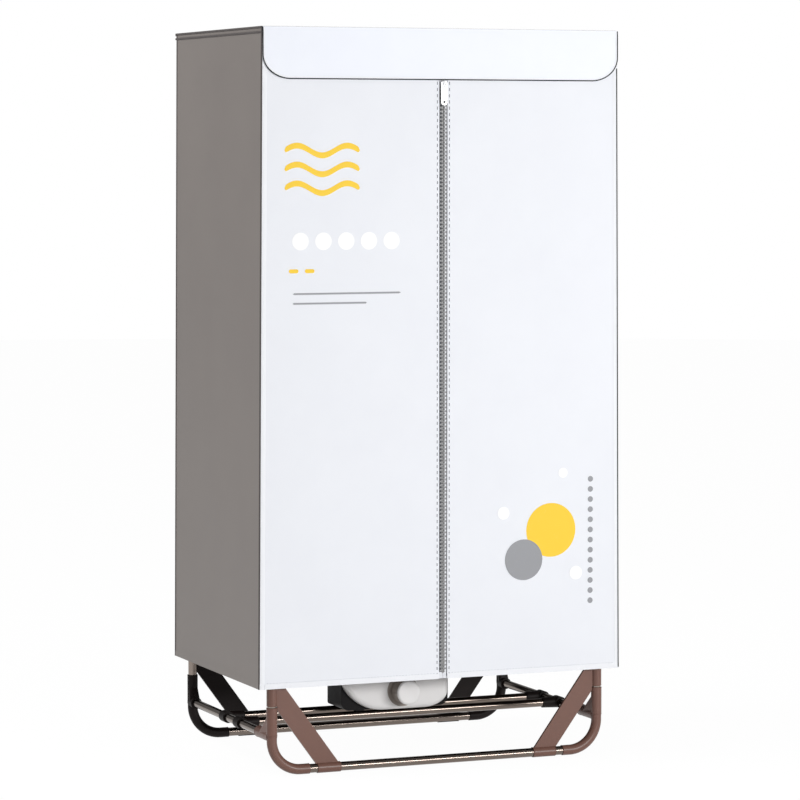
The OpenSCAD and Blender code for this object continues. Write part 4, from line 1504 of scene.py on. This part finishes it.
@dataclass
class Heater:
    """The fan heater: a black rear shell, a white dished front shell, the timer knob and the inner pieces."""

    palette: Palette
    shell_box: tuple[Vector, Vector]
    knob_box: tuple[Vector, Vector]
    wall: float = 0.0024
    big_corner: float = 0.087
    corner: float = 0.028
    foot_curve: float = 0.046
    face_round: float = 0.011
    ring_gap: float = 0.0016
    grip_thick: float = 0.001
    flutes: int = 48
    flute_depth: float = 0.0006
    stem_r: float = 0.003
    soft_edge: float = 0.004
    lip_under: float = 0.0046

    def outline(self, steps: int) -> list[Vector]:
        """Gives the front shell's outline in X and Z, counter-clockwise as seen from the front."""
        low, high = self.shell_box
        big, small = self.big_corner, self.corner
        arcs = (
            (low.x + big, low.z + big, big, big, math.pi),
            (high.x - self.foot_curve, low.z + small, self.foot_curve, small, 1.5 * math.pi),
            (high.x - small, high.z - small, small, small, 0.0),
            (low.x + small, high.z - small, small, small, 0.5 * math.pi),
        )
        points = []
        for cx, cz, rx, rz, start in arcs:
            for i in range(steps + 1):
                a = start + math.pi / 2 * i / steps
                points.append(Vector((cx + rx * math.cos(a), 0, cz + rz * math.sin(a))))
        return points

    def front_shell(self) -> bpy.types.Object:
        """Makes the white shell: a softly rounded dish with a wall."""
        low, high = self.shell_box
        bm = bmesh.new()
        ring = [bm.verts.new((p.x, high.y, p.z)) for p in self.outline(16)]
        face = bm.faces.new(ring)
        face.normal_update()
        if face.normal.y > 0:
            face.normal_flip()
        grown_out = bmesh.ops.extrude_face_region(bm, geom=[face])
        cap = [g for g in grown_out["geom"] if isinstance(g, bmesh.types.BMFace)]
        bmesh.ops.translate(bm, vec=(0, low.y - high.y, 0), verts=list({v for f in cap for v in f.verts}))
        bmesh.ops.delete(bm, geom=[face], context="FACES_ONLY")
        rim = list(cap[0].edges)
        bmesh.ops.bevel(
            bm, geom=rim, offset=self.face_round, segments=8, profile=0.5, affect="EDGES", material=-1
        )
        bmesh.ops.recalc_face_normals(bm, faces=bm.faces)
        bmesh.ops.solidify(bm, geom=bm.faces[:], thickness=self.wall)
        piece = self.palette.grow("heater_face", bm, self.palette.heater_white, 50)
        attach(piece, "cabinet")
        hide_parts("heater_front_shell")
        return piece

    def knob(self) -> bpy.types.Object:
        """Makes the timer knob: a turned drum with a soft edge, a dished cap and its stem."""
        low, high = self.knob_box
        back = self.shell_box[0].y - self.ring_gap
        r, depth = (high.x - low.x) / 2, back - low.y
        stem = back - high.y
        soft = self.soft_edge
        profile = [(0.0, depth - 0.0012), (r * 0.55, depth - 0.0008), (r * 0.8, depth), (r - soft, depth)]
        profile += [
            (r - soft + soft * math.sin(a), depth - soft + soft * math.cos(a))
            for a in (math.pi / 2 * i / 6 for i in range(1, 7))
        ]
        waist = r - self.grip_thick
        profile += [(r, self.lip_depth(depth)), (waist, self.lip_depth(depth)), (waist, 0.0)]
        profile += [(self.stem_r, 0.0), (self.stem_r, stem), (0.0, stem)]
        bm = bmesh.new()
        verts = [bm.verts.new((x, 0, z)) for x, z in profile]
        for a, b in zip(verts, verts[1:], strict=False):
            bm.edges.new((a, b))
        spin_round(bm, 144)
        self.seat_on_axis(bm, back)
        piece = self.palette.grow("timer_knob_drum", bm, self.palette.heater_white, 40)
        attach(piece, "knob")
        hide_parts("timer_knob")
        return piece

    def lip_depth(self, depth: float) -> float:
        """Gives where the grip ends below the knob's soft edge, from the drum's back."""
        return depth - self.lip_under

    def seat_on_axis(self, bm: bmesh.types.BMesh, back: float) -> None:
        """Turns a shape that was spun about Z to the knob's axis and moves it there.

        Args:
            bm: the shape, with its back at z = 0.
            back: the y of the drum's back.
        """
        low, high = self.knob_box
        bmesh.ops.recalc_face_normals(bm, faces=bm.faces)
        bmesh.ops.rotate(bm, cent=(0, 0, 0), matrix=Matrix.Rotation(math.pi / 2, 3, "X"), verts=bm.verts)
        bmesh.ops.translate(bm, vec=((low.x + high.x) / 2, back, (low.z + high.z) / 2), verts=bm.verts)

    def grip(self) -> bpy.types.Object:
        """Makes the grey fluted sleeve round the knob's drum."""
        low, high = self.knob_box
        back = self.shell_box[0].y - self.ring_gap
        r = (high.x - low.x) / 2
        foot, head = 0.0002, self.lip_depth(back - low.y) - 0.0001
        inner = r - self.grip_thick + 0.0001
        bm = bmesh.new()
        bmesh.ops.create_circle(bm, segments=4, radius=1.0)
        corners_at = [(inner, foot), (r, foot), (r, head), (inner, head)]
        for vert, (x, z) in zip(bm.verts, corners_at, strict=True):
            vert.co = (x, 0, z)
        spin_round(bm, 288)
        for vert in bm.verts:
            reach = math.hypot(vert.co.x, vert.co.y)
            if abs(reach - r) < 1e-5:
                turn = math.atan2(vert.co.y, vert.co.x)
                dip = self.flute_depth * (0.5 + 0.5 * math.cos(self.flutes * turn))
                vert.co.x, vert.co.y = (reach - dip) * math.cos(turn), (reach - dip) * math.sin(turn)
        self.seat_on_axis(bm, back)
        piece = self.palette.grow("timer_knob_grip", bm, self.palette.dial_grey, 40)
        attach(piece, "knob")
        return piece

    def dress(self, frame: dict) -> None:
        """Gives the heater's CAD nodes their finishes."""
        p = self.palette
        for name, finish in {
            "heater_rear_shell": p.heater_black,
            "outlet_grille": p.heater_black,
            "dial_ring": p.dial_grey,
            "timer_unit": p.unit_grey,
            "fan_impeller": p.unit_grey,
            "fan_motor": p.plated,
            "heater_screws": p.plated,
            "heating_element": p.fins,
        }.items():
            p.coat_node(frame["nodes"][name], finish)

    def build(self, frame: dict) -> None:
        """Makes and dresses the heater."""
        self.front_shell()
        self.knob()
        self.grip()
        self.dress(frame)
        LOG.info("heater made")


# --------------------------------------------------------------------------------------- the studio


@dataclass
class Studio:
    """A plain pale floor, soft lights and the camera."""

    eye: tuple[float, float, float] = (-2.4755, -5.99855, 1.1106)
    yaw_deg: float = 22.52
    pitch_deg: float = 3.46
    lens_mm: float = 158.74
    shift: float = -0.05
    floor_radius: float = 14.0
    glow: float = 1.03
    glow_share: float = 0.94
    fill: float = 0.32

    def camera(self) -> None:
        """Places the camera at the photograph's angle."""
        yaw, pitch = math.radians(self.yaw_deg), math.radians(self.pitch_deg)
        look = Vector((math.sin(yaw) * math.cos(pitch), math.cos(yaw) * math.cos(pitch), -math.sin(pitch)))
        data = bpy.data.cameras.new("camera")
        data.lens, data.sensor_width, data.shift_y = self.lens_mm, 36.0, self.shift
        data.clip_start, data.clip_end = 0.1, 60.0
        made = bpy.data.objects.new("camera", data)
        made.location = self.eye
        made.rotation_euler = look.to_track_quat("-Z", "Y").to_euler()
        bpy.context.scene.collection.objects.link(made)
        bpy.context.scene.camera = made

    def floor(self) -> None:
        """Makes the pale floor, which keeps the object's shadow."""
        bm = bmesh.new()
        bmesh.ops.create_circle(bm, cap_ends=True, segments=96, radius=self.floor_radius)
        bmesh.ops.translate(bm, vec=(0, 0, -0.0005), verts=bm.verts)
        made = bpy.data.materials.new("studio_floor")
        made.use_nodes = True
        tree = made.node_tree
        tree.nodes.clear()
        diffuse = add(tree, "ShaderNodeBsdfDiffuse", {"Color": (0.86, 0.86, 0.86, 1)})
        glow = add(tree, "ShaderNodeEmission", {"Color": (1, 1, 1, 1), "Strength": self.glow})
        path = add(tree, "ShaderNodeLightPath")
        seen = add(
            tree,
            "ShaderNodeMath",
            {0: path.outputs["Is Camera Ray"], 1: path.outputs["Is Glossy Ray"]},
            operation="MAXIMUM",
        )
        share = add(tree, "ShaderNodeMath", {0: seen.outputs[0], 1: self.glow_share}, operation="MULTIPLY")
        mix = add(
            tree, "ShaderNodeMixShader", {0: share.outputs[0], 1: diffuse.outputs[0], 2: glow.outputs[0]}
        )
        add(tree, "ShaderNodeOutputMaterial", {"Surface": mix.outputs[0]})
        grown("studio_floor", bm, made)

    def world(self) -> None:
        """Makes the backdrop white to the camera and plain to the object."""
        world = bpy.data.worlds.new("studio_world")
        world.use_nodes = True
        tree = world.node_tree
        tree.nodes.clear()
        path = add(tree, "ShaderNodeLightPath")
        seen = add(
            tree,
            "ShaderNodeMath",
            {0: path.outputs["Is Camera Ray"], 1: path.outputs["Is Transmission Ray"]},
            operation="MAXIMUM",
        )
        levels = {"Value": seen.outputs[0], "To Min": self.fill, "To Max": 1.0}
        strength = add(tree, "ShaderNodeMapRange", levels)
        back = add(tree, "ShaderNodeBackground", {"Color": (1, 1, 1, 1), "Strength": strength.outputs[0]})
        add(tree, "ShaderNodeOutputWorld", {"Surface": back.outputs[0]})
        bpy.context.scene.world = world

    def light(
        self, name: str, at: tuple[float, float, float], size: tuple[float, float], watts: float
    ) -> None:
        """Adds one soft rectangular light that looks at the cabinet's middle.

        Args:
            name: the light's name.
            at: where it stands.
            size: its width and height in metres.
            watts: its power.
        """
        data = bpy.data.lights.new(name, "AREA")
        data.shape, data.size, data.size_y, data.energy = "RECTANGLE", size[0], size[1], watts
        made = bpy.data.objects.new(name, data)
        made.location = at
        made.rotation_euler = (Vector((0, 0, 0.6)) - Vector(at)).to_track_quat("-Z", "Y").to_euler()
        bpy.context.scene.collection.objects.link(made)

    def build(self) -> None:
        """Makes the studio."""
        self.camera()
        self.floor()
        self.world()
        self.light("key_light", (1.7, -4.4, 1.1), (2.6, 0.5), 124)
        self.light("left_light", (-2.2, 0.2, 3.3), (1.4, 1.4), 47)
        bpy.context.scene.view_settings.view_transform = "Standard"
        LOG.info("studio made")


def main() -> None:
    """Builds the cabinet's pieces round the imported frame."""
    logging.basicConfig(level=logging.INFO, format="%(name)s: %(message)s")
    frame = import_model()
    palette = Palette()
    shape = CoverShape()
    Studio().build()
    TubeFrame(palette).build(frame)
    Heater(palette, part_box("heater_front_shell"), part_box("timer_knob")).build(frame)
    CoverBody(shape, palette).build()
    panels = FrontPanels(shape, palette)
    panels.build()
    FrontPrint(panels, palette).build()
    TopFlap(shape, palette).build()
    Zip(shape, palette).build()


if __name__ == "__main__":
    main()
